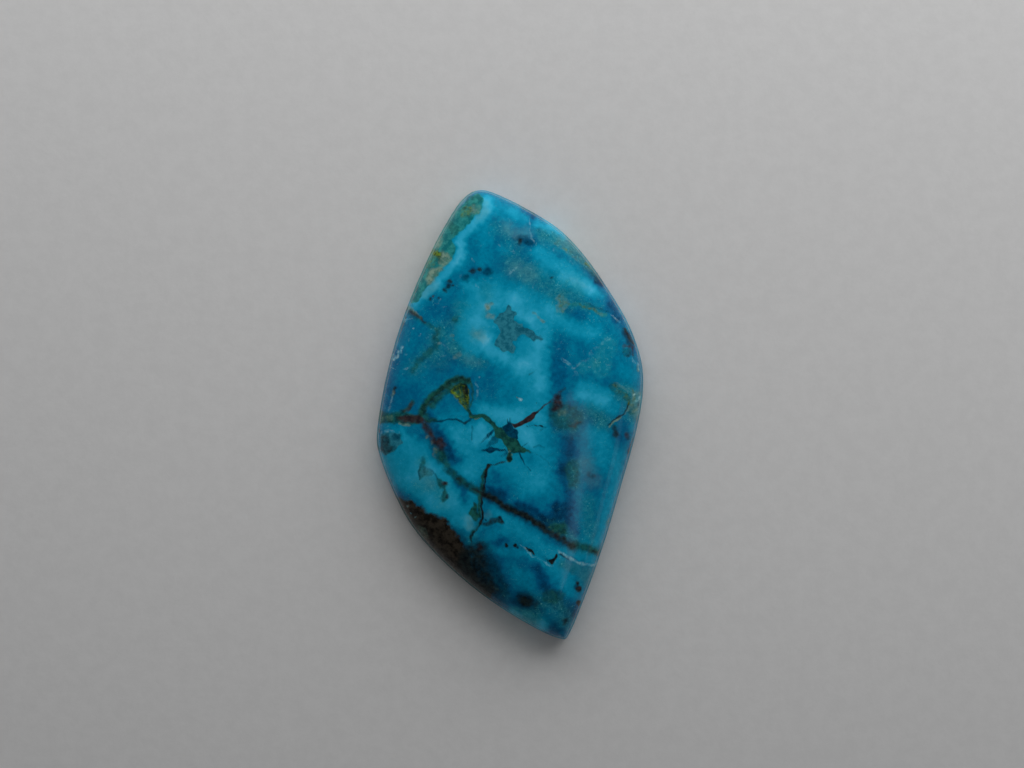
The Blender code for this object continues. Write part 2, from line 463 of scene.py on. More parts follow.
def upper_right_marks() -> list[Mark]:
    """Return the upper right: painted highlights on the pale cap and the rim, the green band and the light
    diagonal.
    """
    return [
        # Painted highlight: the glint of a bright light on the pale cap, drawn into the colour as a lighter
        # tone.
        tone([(2.9, 19.3), (4.0, 18.8), (5.6, 18.1)], 0.55, 0.3, 4),
        tone([(2.6, 19.8), (3.4, 19.5)], 0.5, -0.2),
        Vein(Mineral.OCHRE, [(1.1, 21.1), (2.1, 20.45), (3.2, 19.9)], 0.08, 0.06, 0.14, 0.3),
        tone([(1.9, 20.5), (3.3, 19.8)], 0.5, -0.25),
        tone([(0.2, 20.2), (1.2, 19.7)], 0.6, 0.14),
        Vein(Mineral.LIME, [(1.4, 20.85), (2.3, 20.35), (3.0, 20.0)], 0.05, 0.04, 0.12, 0.4),
        Vein(Mineral.MALACHITE, [(0.6, 21.2), (1.6, 20.6), (2.6, 20.0)], 0.1, 0.1, 0.12, 0.5),
        Vein(Mineral.PALE, [(1.95, 19.55), (2.0, 18.9), (2.05, 18.05), (2.4, 17.2)], 0.05, 0.03, 0.08, 0.2),
        Spot(Mineral.OXIDE, (1.0, 17.35), 0.22, 1.3, 60, 0.15, 0.85),
        Spot(Mineral.NAVY, (1.9, 17.3), 0.32, 1.4, 0, 0.25, 0.8),
        Spot(Mineral.NAVY, (1.3, 17.7), 0.3, 1.6, 0, 0.25, 0.6),
        tone([(0.8, 17.4), (2.1, 17.2)], 0.6, -0.22),
        # The green speckled band that runs down beside the right edge.
        Vein(Mineral.MALACHITE, [
            (3.1, 18.3), (4.3, 17.7), (5.2, 16.9), (5.95, 16.3), (6.6, 15.7), (7.6, 15.0), (8.2, 14.5),
        ], 0.2, 0.16, 0.35, 0.2),
        Vein(Mineral.OCHRE, [
            (4.6, 17.2), (5.6, 16.5), (6.4, 15.9), (7.2, 15.3), (8.0, 14.7),
        ], 0.09, 0.09, 0.25, 0.22),
        Spot(Mineral.LIME, (7.6, 15.05), 0.1, 2.4, -35, 0.14, 0.5),
        tone([(8.0, 14.9), (8.8, 13.8)], 0.6, -0.22),
        Spot(Mineral.LIME, (5.5, 16.6), 0.1, 2.2, -35, 0.12, 0.45),
        green([(3.2, 18.0), (5.4, 17.1), (7.0, 15.9), (8.6, 14.5)], 0.8, 0.9),
        green([(6.4, 17.2), (7.6, 15.9)], 0.7, 0.7),
        sand([(5.2, 17.4), (6.6, 16.6)], 0.5, 0.35),
        tone([(4.4, 17.6), (5.6, 16.6)], 0.6, 0.1),
        tone([(6.2, 17.0), (7.6, 15.6), (9.2, 13.4)], 0.6, -0.2),
        # The light diagonal, the deep edge beside it, and a painted reflection along the upper right edge.
        tone([
            (2.8, 16.3), (3.8, 15.6), (4.8, 15.0), (6.0, 14.1), (7.1, 13.4), (8.5, 12.7), (9.6, 12.0),
        ], 0.75, 0.22, 4),
        tone([(8.9, 13.5), (9.8, 12.2), (10.8, 9.8)], 0.7, -0.3),
        # Painted reflection: a light rim along the steep upper right edge, where a light would glint, drawn
        # as a lighter tone.
        tone([(10.6, 11.6), (11.2, 10.4), (12.0, 8.8)], 0.5, 0.16),
        # The teal mottling between the diagonal and the plume, with its pale lines.
        green([(0.4, 15.0), (2.6, 13.8), (4.4, 12.9), (6.4, 12.6)], 1.3, 0.7),
        sand([(0.5, 14.6), (2.0, 14.0)], 0.8, 0.22),
        Vein(Mineral.PALE, [(0.95, 15.05), (0.4, 14.5), (-0.3, 13.9)], 0.04, 0.03, 0.1, 0.2),
        Vein(Mineral.PALE, [(1.45, 14.8), (2.0, 14.65), (2.45, 14.4)], 0.04, 0.03, 0.1, 0.2),
        Spot(Mineral.OXIDE, (4.1, 13.7), 0.13, 1.2, 0, 0.1, 0.8),
        *faint_specks([
            (3.1, 13.8), (1.2, 13.2), (2.3, 12.9), (3.7, 12.7), (0.3, 16.3), (1.9, 16.4), (5.2, 13.0),
            (4.4, 16.4), (6.2, 15.3), (7.5, 14.2),
        ]),
        tone([(5.2, 13.6), (6.5, 13.1), (8.0, 12.4)], 0.75, 0.26),
        tone([(0.4, 16.3), (1.6, 15.6)], 0.8, -0.05),
    ]


def left_marks() -> list[Mark]:
    """Return the brown and green veins and the pale flecks of the left shoulder."""
    return [
        Vein(Mineral.OCHRE, [
            (-10.6, 10.9), (-10.2, 10.8), (-9.8, 10.5), (-9.4, 10.1), (-9.0, 9.75),
        ], 0.14, 0.12, 0.14, 0.85),
        Vein(Mineral.IRON, [(-9.9, 10.35), (-9.4, 10.0), (-8.9, 9.6), (-8.4, 9.25)], 0.16, 0.08, 0.2, 0.75),
        Vein(Mineral.MALACHITE, [(-10.2, 10.4), (-9.5, 9.8), (-8.5, 9.2), (-7.8, 8.8)], 0.2, 0.1, 0.3, 0.5),
        Vein(Mineral.OXIDE, [
            (-10.5, 9.6), (-10.8, 8.9), (-11.05, 8.2), (-11.35, 7.5),
        ], 0.13, 0.08, 0.18, 0.8),
        Vein(Mineral.PALE, [(-10.6, 9.3), (-10.25, 9.5), (-9.75, 9.7)], 0.05, 0.04, 0.08, 0.4),
        Spot(Mineral.PALE, (-9.65, 8.65), 0.07, 1.3, 70, 0.06, 0.75),
        Vein(Mineral.PALE, [(-10.8, 6.85), (-10.95, 6.5), (-10.9, 6.15)], 0.06, 0.05, 0.1, 0.5),
        Vein(Mineral.PALE, [(-11.2, 6.3), (-11.15, 5.95), (-11.35, 5.7)], 0.08, 0.05, 0.1, 0.45),
        Vein(Mineral.PALE, [(-11.6, 6.0), (-11.5, 5.8), (-11.65, 5.45)], 0.06, 0.04, 0.1, 0.4),
        *faint_specks([
            (-11.5, 6.5), (-11.2, 5.2), (-10.75, 4.25), (-9.3, 4.3), (-7.2, 5.1), (-10.3, 6.1), (-9.0, 8.0),
            (-8.3, 7.6), (-6.3, 10.4), (-5.0, 9.9), (-8.8, 10.6), (-10.1, 7.6), (-9.9, 5.3), (-8.6, 4.9),
            (-6.6, 5.9),
        ]),
        # The diffuse olive vein and the hair lines round it.
        Vein(Mineral.MALACHITE, [
            (-7.2, 8.5), (-7.4, 7.9), (-7.4, 6.9), (-8.0, 6.4), (-8.7, 5.7), (-9.2, 5.2), (-9.8, 4.4),
        ], 0.22, 0.14, 0.4, 0.5),
        Spot(Mineral.OXIDE, (-7.4, 8.0), 0.1, 2.2, 75, 0.2, 0.35),
        green([(-7.3, 8.2), (-7.9, 6.5), (-9.6, 4.6)], 0.9, 0.6),
        green([(-6.4, 8.6), (-6.0, 6.8), (-7.0, 5.2)], 1.0, 0.4),
        Vein(Mineral.PALE, [(-7.2, 7.2), (-6.7, 7.05), (-6.05, 6.55)], 0.04, 0.03, 0.1, 0.12),
        Vein(Mineral.PALE, [(-12.0, 4.85), (-11.7, 4.65), (-11.35, 4.35)], 0.04, 0.03, 0.08, 0.3),
        Vein(Mineral.PALE, [(-10.7, 4.55), (-10.4, 4.6), (-10.05, 4.8)], 0.03, 0.03, 0.08, 0.22),
        Spot(Mineral.MALACHITE, (-5.45, 9.6), 0.2, 1.6, 70, 0.25, 0.5),
        Spot(Mineral.OCHRE, (-5.85, 7.9), 0.12, 1.3, 0, 0.14, 0.45),
        Spot(Mineral.LIME, (-5.55, 7.5), 0.1, 1.3, 0, 0.12, 0.45),
        Spot(Mineral.OCHRE, (-5.3, 5.9), 0.18, 1.5, 30, 0.25, 0.4),
        sand([(-4.3, 5.6), (-3.2, 5.1)], 0.4, 0.14),
        green([(-4.9, 10.8), (-5.5, 9.4)], 0.8, 0.5),
        green([(-5.6, 6.6), (-4.2, 5.4), (-3.0, 5.2)], 0.7, 0.6),
        # The dash at the left edge.
        Vein(Mineral.OXIDE, [(-11.45, 2.7), (-11.6, 2.2)], 0.12, 0.08, 0.14, 0.85),
        Vein(Mineral.OCHRE, [(-11.6, 2.3), (-11.8, 1.9)], 0.08, 0.06, 0.12, 0.7),
        Vein(Mineral.PALE, [
            (-11.75, 1.9), (-11.85, 1.5), (-12.0, 1.0), (-12.15, 0.4),
        ], 0.04, 0.03, 0.1, 0.22),
        tone([(-10.4, 9.6), (-8.6, 8.4), (-8.0, 6.2)], 1.6, -0.04),
        tone([(-8.0, 11.2), (-6.3, 10.0)], 1.1, -0.1),
        tone([(-11.6, 5.8), (-12.2, 3.8), (-12.6, 1.0), (-12.9, -0.5)], 1.0, -0.13),
        tone([(-9.8, 2.2), (-9.8, 1.0)], 1.1, -0.1),
        tone([(-6.8, 4.9), (-5.4, 5.6)], 1.0, -0.09),
        tone([(-11.4, 2.4), (-11.4, 1.0)], 0.8, -0.1),
        tone([(-7.2, 13.0), (-6.6, 12.4)], 0.5, 0.1),
    ]


def plume_marks() -> list[Mark]:
    """Return the grey-teal plume in the middle, the spots round it and the light ground under it."""
    return [
        Patch(Mineral.PLUME, [
            (-0.1, 11.0), (0.08, 10.85), (0.15, 10.5), (0.65, 10.35), (0.65, 10.05), (0.35, 9.9),
            (0.35, 9.55), (0.5, 9.3), (0.95, 9.1), (1.25, 9.15), (1.35, 8.75), (1.85, 8.55), (2.4, 8.35),
            (2.6, 8.0), (2.85, 7.75), (3.35, 7.65), (3.25, 7.5), (2.75, 7.5), (2.45, 7.35), (2.15, 7.5),
            (2.0, 7.8), (1.45, 8.0), (1.1, 8.05), (0.75, 7.8), (0.65, 7.4), (0.25, 7.3), (0.45, 6.85),
            (0.4, 6.25), (0.1, 6.2), (-0.2, 6.4), (-0.55, 6.25), (-0.85, 6.4), (-1.05, 6.75), (-1.5, 6.9),
            (-1.5, 7.3), (-1.2, 7.8), (-1.0, 8.2), (-1.05, 8.7), (-1.35, 9.05), (-1.7, 9.4), (-1.55, 9.6),
            (-1.2, 9.85), (-1.1, 10.1), (-0.65, 10.25), (-0.4, 10.5), (-0.3, 10.8),
        ], 0.06),
        Vein(Mineral.NAVY, [(0.9, 8.7), (1.5, 8.3), (2.3, 7.95), (3.1, 7.6)], 0.2, 0.08, 0.3, 0.3),
        Spot(Mineral.OCHRE, (-2.2, 10.75), 0.22, 1.6, 80, 0.2, 0.75),
        Spot(Mineral.OCHRE, (-2.0, 9.85), 0.18, 1.5, 0, 0.25, 0.45),
        Spot(Mineral.OCHRE, (-1.85, 11.1), 0.12, 1.3, 0, 0.16, 0.5),
        Spot(Mineral.OCHRE, (2.4, 10.1), 0.1, 1.6, -40, 0.12, 0.5),
        Spot(Mineral.OCHRE, (2.85, 9.75), 0.1, 1.6, -40, 0.12, 0.45),
        Spot(Mineral.OCHRE, (3.3, 9.35), 0.12, 1.6, -10, 0.12, 0.6),
        sand([(-3.3, 8.1), (-2.9, 7.8)], 0.5, 0.55),
        Vein(Mineral.OXIDE, [(1.9, 3.95), (2.3, 4.25), (2.65, 4.5)], 0.05, 0.03, 0.08, 0.7),
        Spot(Mineral.PALE, (1.05, 1.55), 0.14, 1.3, -15, 0.12, 0.7),
        Spot(Mineral.LIME, (0.75, 1.72), 0.07, 1.4, 0, 0.08, 0.6),
        Spot(Mineral.OXIDE, (2.65, 1.2), 0.06, 1.0, 0, 0.08, 0.6),
        tone([(-1.6, 12.3), (-3.6, 11.0), (-4.4, 8.9), (-3.9, 7.0)], 1.3, 0.26),
        tone([(-2.6, 10.3), (-2.2, 9.4)], 0.9, 0.16),
        tone([(-4.2, 12.9), (-3.2, 12.2)], 0.6, 0.12),
        tone([(0.8, 11.6), (2.2, 10.6), (3.1, 9.4), (3.2, 8.2)], 1.4, 0.27),
        tone([(-3.2, 9.3)], 0.8, 0.22),
        tone([(-2.4, 7.4), (-1.9, 6.6), (-0.8, 5.9)], 0.9, 0.38),
        tone([(1.5, 6.9), (2.2, 5.8), (0.8, 5.2)], 1.1, 0.24),
        tone([(0.2, 11.4), (-0.2, 10.0), (-2.0, 8.4)], 1.1, 0.16),
        tone([(-2.2, 10.8), (-1.3, 10.7)], 0.6, 0.18),
        tone([(1.0, 9.9), (1.8, 9.3)], 0.6, 0.18),
        tone([(1.6, 4.4), (2.4, 2.8), (2.6, 0.8)], 1.5, 0.26),
        tone([(3.1, 7.0), (3.3, 5.2), (3.2, 3.0)], 0.8, 0.18, 4),
        tone([(-1.6, 4.2), (-2.2, 3.0), (-2.0, 1.6)], 1.0, -0.08),
        tone([(-0.9, 4.0), (-0.4, 2.8)], 0.9, 0.1),
        tone([(-2.6, 0.5), (-1.0, 0.2), (0.6, -0.1)], 0.9, 0.27),
        tone([(-0.4, -1.0), (0.8, -1.8)], 2.0, 0.16),
        green([(-3.4, 8.0)], 0.8, 0.45),
        green([(-2.4, 12.6), (-2.2, 10.4)], 0.7, 0.35),
    ]


def vug_marks() -> list[Mark]:
    """Return the yellow-green vug and the olive vein that curls round it to the left edge."""
    return [
        # The vug: a dark olive hollow with lime walls.
        Patch(Mineral.MALACHITE, [
            (-6.05, 2.35), (-5.8, 2.8), (-5.4, 3.05), (-4.8, 3.3), (-4.3, 3.2), (-4.05, 2.4), (-4.1, 1.6),
            (-4.1, 0.9), (-4.05, 0.2), (-4.4, 0.4), (-4.75, 0.9), (-5.1, 1.4), (-5.6, 1.9),
        ], 0.08),
        Patch(Mineral.LIME, [
            (-5.9, 2.4), (-5.3, 2.95), (-4.6, 3.0), (-4.5, 2.2), (-4.2, 1.2), (-4.4, 0.6), (-5.0, 1.4),
        ], 0.2, 0.34),
        Vein(Mineral.LIME, [(-5.85, 2.35), (-5.5, 2.7), (-5.1, 2.9), (-4.75, 3.0)], 0.06, 0.07, 0.1, 0.8),
        Vein(Mineral.LIME, [
            (-5.7, 2.2), (-5.3, 1.95), (-5.0, 1.5), (-4.75, 1.1), (-4.5, 0.8),
        ], 0.1, 0.06, 0.08, 0.9),
        Vein(Mineral.LIME, [(-5.1, 2.8), (-4.95, 2.3), (-5.05, 1.8)], 0.06, 0.05, 0.08, 0.7),
        Spot(Mineral.LIME, (-5.4, 2.4), 0.08, 1.6, 30, 0.08, 0.7),
        Vein(Mineral.LIME, [(-4.15, 2.6), (-4.1, 2.0), (-4.3, 1.3), (-4.45, 0.8)], 0.04, 0.05, 0.08, 0.7),
        Spot(Mineral.LIME, (-4.6, 1.3), 0.1, 1.6, 70, 0.08, 0.8),
        Patch(Mineral.OXIDE, [
            (-4.65, 3.15), (-4.35, 3.1), (-4.15, 2.5), (-4.2, 1.7), (-4.35, 1.2), (-4.5, 1.7), (-4.7, 2.3),
        ], 0.12, 0.95),
        *specks(Mineral.OXIDE, 0.07, [(-5.15, 2.6), (-5.5, 2.45), (-5.2, 2.15), (-4.85, 1.7), (-5.55, 2.1)]),
        Spot(Mineral.IRON, (-4.6, 2.2), 0.08, 2.4, 70, 0.12, 0.7),
        Vein(Mineral.MALACHITE, [
            (-4.0, 3.5), (-3.85, 3.0), (-3.75, 2.3), (-3.75, 1.7), (-3.95, 1.1), (-4.1, 0.6),
        ], 0.08, 0.1, 0.12, 0.7),
        Vein(Mineral.PALE, [(-3.45, 3.3), (-3.3, 2.8), (-3.25, 2.2), (-3.45, 1.5)], 0.05, 0.04, 0.1, 0.18),
        Spot(Mineral.PALE, (-3.05, 3.75), 0.06, 1.4, 40, 0.08, 0.22),
        # The olive vein from the vug down to the junction at the left.
        Vein(Mineral.MALACHITE, [
            (-4.2, 3.35), (-4.8, 3.55), (-5.55, 3.5), (-6.1, 3.2), (-6.7, 2.75), (-7.3, 2.25), (-7.9, 1.75),
            (-8.5, 1.0), (-8.8, 0.3), (-9.1, -0.4),
        ], 0.34, 0.3, 0.18),
        Patch(Mineral.MALACHITE, [
            (-6.1, 3.6), (-5.3, 3.9), (-4.5, 3.7), (-4.2, 3.3), (-5.0, 3.2), (-5.8, 3.1),
        ], 0.16, 0.9),
        Vein(Mineral.MALACHITE, [(-5.9, 2.8), (-6.5, 2.2), (-7.2, 1.6), (-7.9, 0.9)], 0.3, 0.3, 0.25, 0.75),
        Vein(Mineral.OXIDE, [
            (-4.15, 3.4), (-4.7, 3.6), (-5.3, 3.6), (-5.8, 3.4), (-6.3, 3.0),
        ], 0.1, 0.08, 0.25, 0.45),
        Vein(Mineral.OXIDE, [
            (-6.2, 3.0), (-7.1, 2.2), (-7.8, 1.5), (-8.45, 0.8), (-8.75, 0.2),
        ], 0.14, 0.14, 0.25, 0.45),
        # The level vein from the left edge, green outside and brown inside.
        Patch(Mineral.MALACHITE, [
            (-14.2, 0.4), (-13.0, 0.35), (-12.0, 0.2), (-11.2, 0.25), (-10.6, 0.4), (-10.2, 0.2),
            (-9.6, 0.05), (-9.0, -0.1), (-8.8, -0.6), (-9.4, -0.95), (-10.3, -1.0), (-11.2, -0.85),
            (-12.2, -0.85), (-13.2, -0.85), (-14.2, -0.8),
        ], 0.2, 0.8),
        Patch(Mineral.IRON, [
            (-11.3, -0.3), (-10.6, -0.1), (-10.0, -0.05), (-9.3, 0.0), (-8.8, -0.25), (-8.5, -0.65),
            (-8.7, -0.95), (-9.4, -0.8), (-10.2, -0.85), (-10.9, -0.65),
        ], 0.2, 0.8),
        Vein(Mineral.OXIDE, [
            (-10.9, -0.35), (-10.1, -0.3), (-9.3, -0.35), (-8.8, -0.5),
        ], 0.1, 0.12, 0.2, 0.7),
        Vein(Mineral.OCHRE, [(-11.1, -0.85), (-10.6, -0.98), (-10.0, -1.02)], 0.07, 0.06, 0.12, 0.6),
        Vein(Mineral.OCHRE, [(-13.2, -0.1), (-12.6, -0.35), (-11.9, -0.3)], 0.08, 0.06, 0.3, 0.2),
        Vein(Mineral.MALACHITE, [
            (-11.1, 0.1), (-10.5, 0.5), (-10.0, 0.9), (-9.7, 1.3),
        ], 0.16, 0.14, 0.2, 0.75),
        Vein(Mineral.IRON, [(-10.6, 0.35), (-10.15, 0.7), (-9.8, 1.15)], 0.1, 0.12, 0.2, 0.6),
        Patch(Mineral.MALACHITE, [
            (-8.8, 0.2), (-8.4, 0.1), (-8.0, -0.2), (-7.2, -0.5), (-8.2, -0.7), (-8.6, -0.5),
        ], 0.2, 0.75),
        # The fine crack from the junction to the cluster.
        Vein(Mineral.NAVY, [
            (-8.4, -0.55), (-7.6, -0.6), (-6.9, -0.66), (-6.3, -0.5), (-5.6, -0.45), (-4.95, -0.55),
            (-4.65, -0.82), (-4.2, -0.66), (-3.85, -0.4),
        ], 0.1, 0.09, 0.08, 0.9),
        Vein(Mineral.OXIDE, [(-5.2, -0.5), (-4.7, -0.8), (-4.2, -0.68)], 0.05, 0.04, 0.08, 0.6),
        tone([(-6.6, -0.8), (-5.0, -0.1), (-5.2, -1.6), (-6.2, -1.6)], 0.9, 0.09),
        tone([(-4.9, 2.2)], 1.3, -0.12),
        tone([(-8.0, -0.2), (-7.6, -1.3)], 0.45, -0.2),
    ]


def cluster_marks() -> list[Mark]:
    """Return the dark star of blades in the middle, its maroon blade and the veins that meet it."""
    return [
        Vein(Mineral.MALACHITE, [
            (-4.45, 0.7), (-4.1, 0.25), (-3.85, -0.15), (-3.4, -0.25), (-2.85, -0.08), (-2.35, -0.3),
            (-1.95, -0.65), (-1.6, -1.1), (-1.25, -1.5), (-0.9, -1.95), (-0.5, -2.4), (-0.1, -3.0),
            (0.3, -3.5),
        ], 0.17, 0.3, 0.08),
        Spot(Mineral.LIME, (-3.85, -0.25), 0.09, 1.5, -20, 0.08, 0.6),
        Vein(Mineral.OCHRE, [(-3.5, -0.42), (-3.0, -0.3)], 0.05, 0.04, 0.08, 0.5),
        Vein(Mineral.OXIDE, [(-4.1, 0.5), (-3.8, 0.1), (-3.4, -0.05)], 0.06, 0.05, 0.12, 0.6),
        # The body of the star.
        Patch(Mineral.MALACHITE, [
            (-1.6, -1.5), (-1.3, -1.35), (-0.9, -1.2), (-0.6, -1.5), (-0.4, -1.9), (0.1, -2.3), (0.6, -2.4),
            (0.85, -2.6), (1.0, -2.9), (1.2, -3.2), (1.55, -3.35), (1.6, -3.65), (1.2, -3.85), (0.7, -3.8),
            (0.3, -3.65), (-0.1, -3.6), (-0.35, -3.35), (-0.6, -2.85), (-0.9, -2.5), (-1.3, -2.3),
            (-1.6, -2.0),
        ], 0.06),
        Patch(Mineral.NAVY, [
            (-0.75, -1.25), (-0.35, -0.95), (-0.05, -0.85), (0.25, -1.0), (0.4, -1.35), (0.75, -1.55),
            (0.85, -2.0), (0.8, -2.45), (0.2, -2.5), (-0.4, -2.1), (-0.6, -1.7),
        ], 0.07),
        Vein(Mineral.NAVY, [(-0.25, -0.4), (-0.15, -0.95)], 0.03, 0.08, 0.06),
        Vein(Mineral.NAVY, [(0.05, -0.25), (0.03, -0.95)], 0.02, 0.07, 0.06),
        Vein(Mineral.NAVY, [(-0.3, -1.0), (-0.7, -1.2), (-1.1, -1.45)], 0.07, 0.05, 0.06),
        Vein(Mineral.NAVY, [(-1.65, -1.55), (-2.15, -1.95), (-2.6, -2.35), (-3.0, -2.8)], 0.1, 0.02, 0.06),
        Vein(Mineral.NAVY, [(-1.9, -1.9), (-2.4, -2.4), (-2.9, -2.9)], 0.09, 0.02, 0.06),
        Patch(Mineral.NAVY, [
            (-1.4, -1.95), (-1.85, -2.25), (-2.15, -2.75), (-2.45, -3.15), (-1.9, -3.1), (-1.4, -2.85),
            (-1.1, -2.55),
        ], 0.07, 0.62),
        Patch(Mineral.NAVY, [
            (-3.05, -3.6), (-2.6, -3.45), (-2.0, -3.28), (-1.4, -3.33), (-0.4, -3.45), (-0.4, -3.6),
            (-1.2, -3.62), (-1.6, -3.75), (-2.1, -3.82), (-2.5, -3.68),
        ], 0.06),
        Vein(Mineral.NAVY, [(-1.15, -4.2), (-0.7, -3.95), (-0.25, -3.68)], 0.02, 0.07, 0.06),
        Vein(Mineral.NAVY, [(-0.85, -4.3), (-0.5, -4.1), (-0.15, -3.85)], 0.02, 0.07, 0.06),
        Vein(Mineral.NAVY, [(0.85, -3.75), (1.25, -4.45), (1.6, -5.1), (2.0, -5.65)], 0.08, 0.03, 0.06),
        Vein(Mineral.NAVY, [(1.15, -3.25), (1.5, -3.0), (1.95, -2.65)], 0.08, 0.02, 0.06),
        Vein(Mineral.MALACHITE, [(1.3, -3.5), (1.8, -3.65), (2.3, -3.85), (2.7, -3.95)], 0.14, 0.02, 0.08),
        Vein(Mineral.NAVY, [(2.4, -3.15), (2.9, -3.1), (3.4, -3.25)], 0.05, 0.03, 0.12, 0.45),
        Vein(Mineral.NAVY, [(3.0, -4.1), (3.6, -4.6), (3.9, -5.0)], 0.04, 0.03, 0.12, 0.3),
        # The brown knob under the star.
        Patch(Mineral.MALACHITE, [
            (0.45, -3.45), (0.2, -3.75), (0.2, -4.1), (0.25, -4.5), (0.05, -4.75), (-0.3, -4.6),
            (-0.38, -4.2), (-0.15, -3.85), (0.1, -3.55),
        ], 0.08),
        Patch(Mineral.OXIDE, [
            (0.2, -3.75), (0.08, -4.1), (0.15, -4.5), (0.0, -4.65), (-0.25, -4.5), (-0.3, -4.2),
            (-0.1, -3.95),
        ], 0.12, 0.85),
        Spot(Mineral.LIME, (-0.15, -3.45), 0.08, 1.5, 30, 0.1, 0.8),
        Spot(Mineral.LIME, (0.2, -3.95), 0.06, 2.0, 80, 0.1, 0.7),
        Spot(Mineral.LIME, (-0.2, -4.65), 0.06, 1.6, 20, 0.1, 0.7),
        Spot(Mineral.OCHRE, (0.05, -3.65), 0.08, 1.6, 45, 0.1, 0.6),
        # The maroon blade that points to the upper right, and its blob.
        Patch(Mineral.IRON, [
            (0.05, -0.88), (0.7, -0.88), (1.2, -0.5), (1.7, -0.22), (2.2, 0.1), (2.6, 0.38), (2.85, 0.5),
            (2.7, 0.15), (2.5, -0.18), (2.1, -0.62), (1.5, -0.92), (1.0, -1.2), (0.5, -1.38), (0.35, -1.15),
        ], 0.06),
        Vein(Mineral.IRON, [(2.7, 0.35), (3.3, 0.8), (3.9, 1.25), (4.4, 1.65)], 0.09, 0.04, 0.07),
        Patch(Mineral.IRON, [
            (4.5, 1.9), (4.85, 2.15), (5.1, 1.9), (5.1, 1.4), (5.3, 1.0), (5.0, 0.6), (4.6, 0.3), (4.3, 0.5),
            (4.45, 0.9), (4.4, 1.4),
        ], 0.3, 0.85),
        Vein(Mineral.OXIDE, [(5.0, 1.9), (5.2, 2.35), (5.5, 2.7)], 0.1, 0.05, 0.2, 0.6),
        Patch(Mineral.NAVY, [
            (3.9, 1.2), (4.4, 1.5), (4.5, 0.8), (4.3, 0.0), (3.95, -0.2), (4.0, 0.5),
        ], 0.3, 0.6),
        Vein(Mineral.OXIDE, [(1.75, -1.12), (2.4, -1.02), (2.9, -1.07), (3.35, -1.2)], 0.05, 0.06, 0.06),
        Vein(Mineral.NAVY, [(2.9, -1.1), (3.3, -1.2), (3.65, -1.22)], 0.05, 0.03, 0.08, 0.7),
        Vein(Mineral.NAVY, [(3.0, -1.5), (3.4, -1.35)], 0.03, 0.03, 0.1, 0.5),
        Vein(Mineral.NAVY, [(-3.72, -1.1), (-3.85, -1.8), (-3.82, -2.5)], 0.04, 0.03, 0.1, 0.45),
        # The ground round the star.
        tone([(-3.4, -1.5), (-3.1, -2.4)], 0.8, 0.34),
        tone([(-2.6, -1.2), (-2.0, -2.2)], 0.6, 0.22),
        tone([(1.2, -1.6), (1.8, -2.8)], 0.8, 0.22, 3),
        tone([(2.8, -0.3), (3.5, -0.6)], 0.6, 0.16),
        tone([(-5.2, -2.2), (-4.2, -3.8), (-3.9, -5.4)], 1.2, 0.25),
        tone([(-5.4, -5.2), (-3.8, -6.6), (-3.9, -7.8)], 0.7, 0.1),
        tone([(2.8, -1.8), (3.2, -4.0), (3.2, -6.4)], 1.1, 0.2),
        tone([(-1.6, -4.3), (0.8, -5.4), (1.9, -7.0)], 1.4, 0.2),
        tone([(-1.4, -6.3)], 0.6, -0.1),
        tone([(3.4, -7.2), (3.9, -8.2)], 0.6, 0.1),
    ]


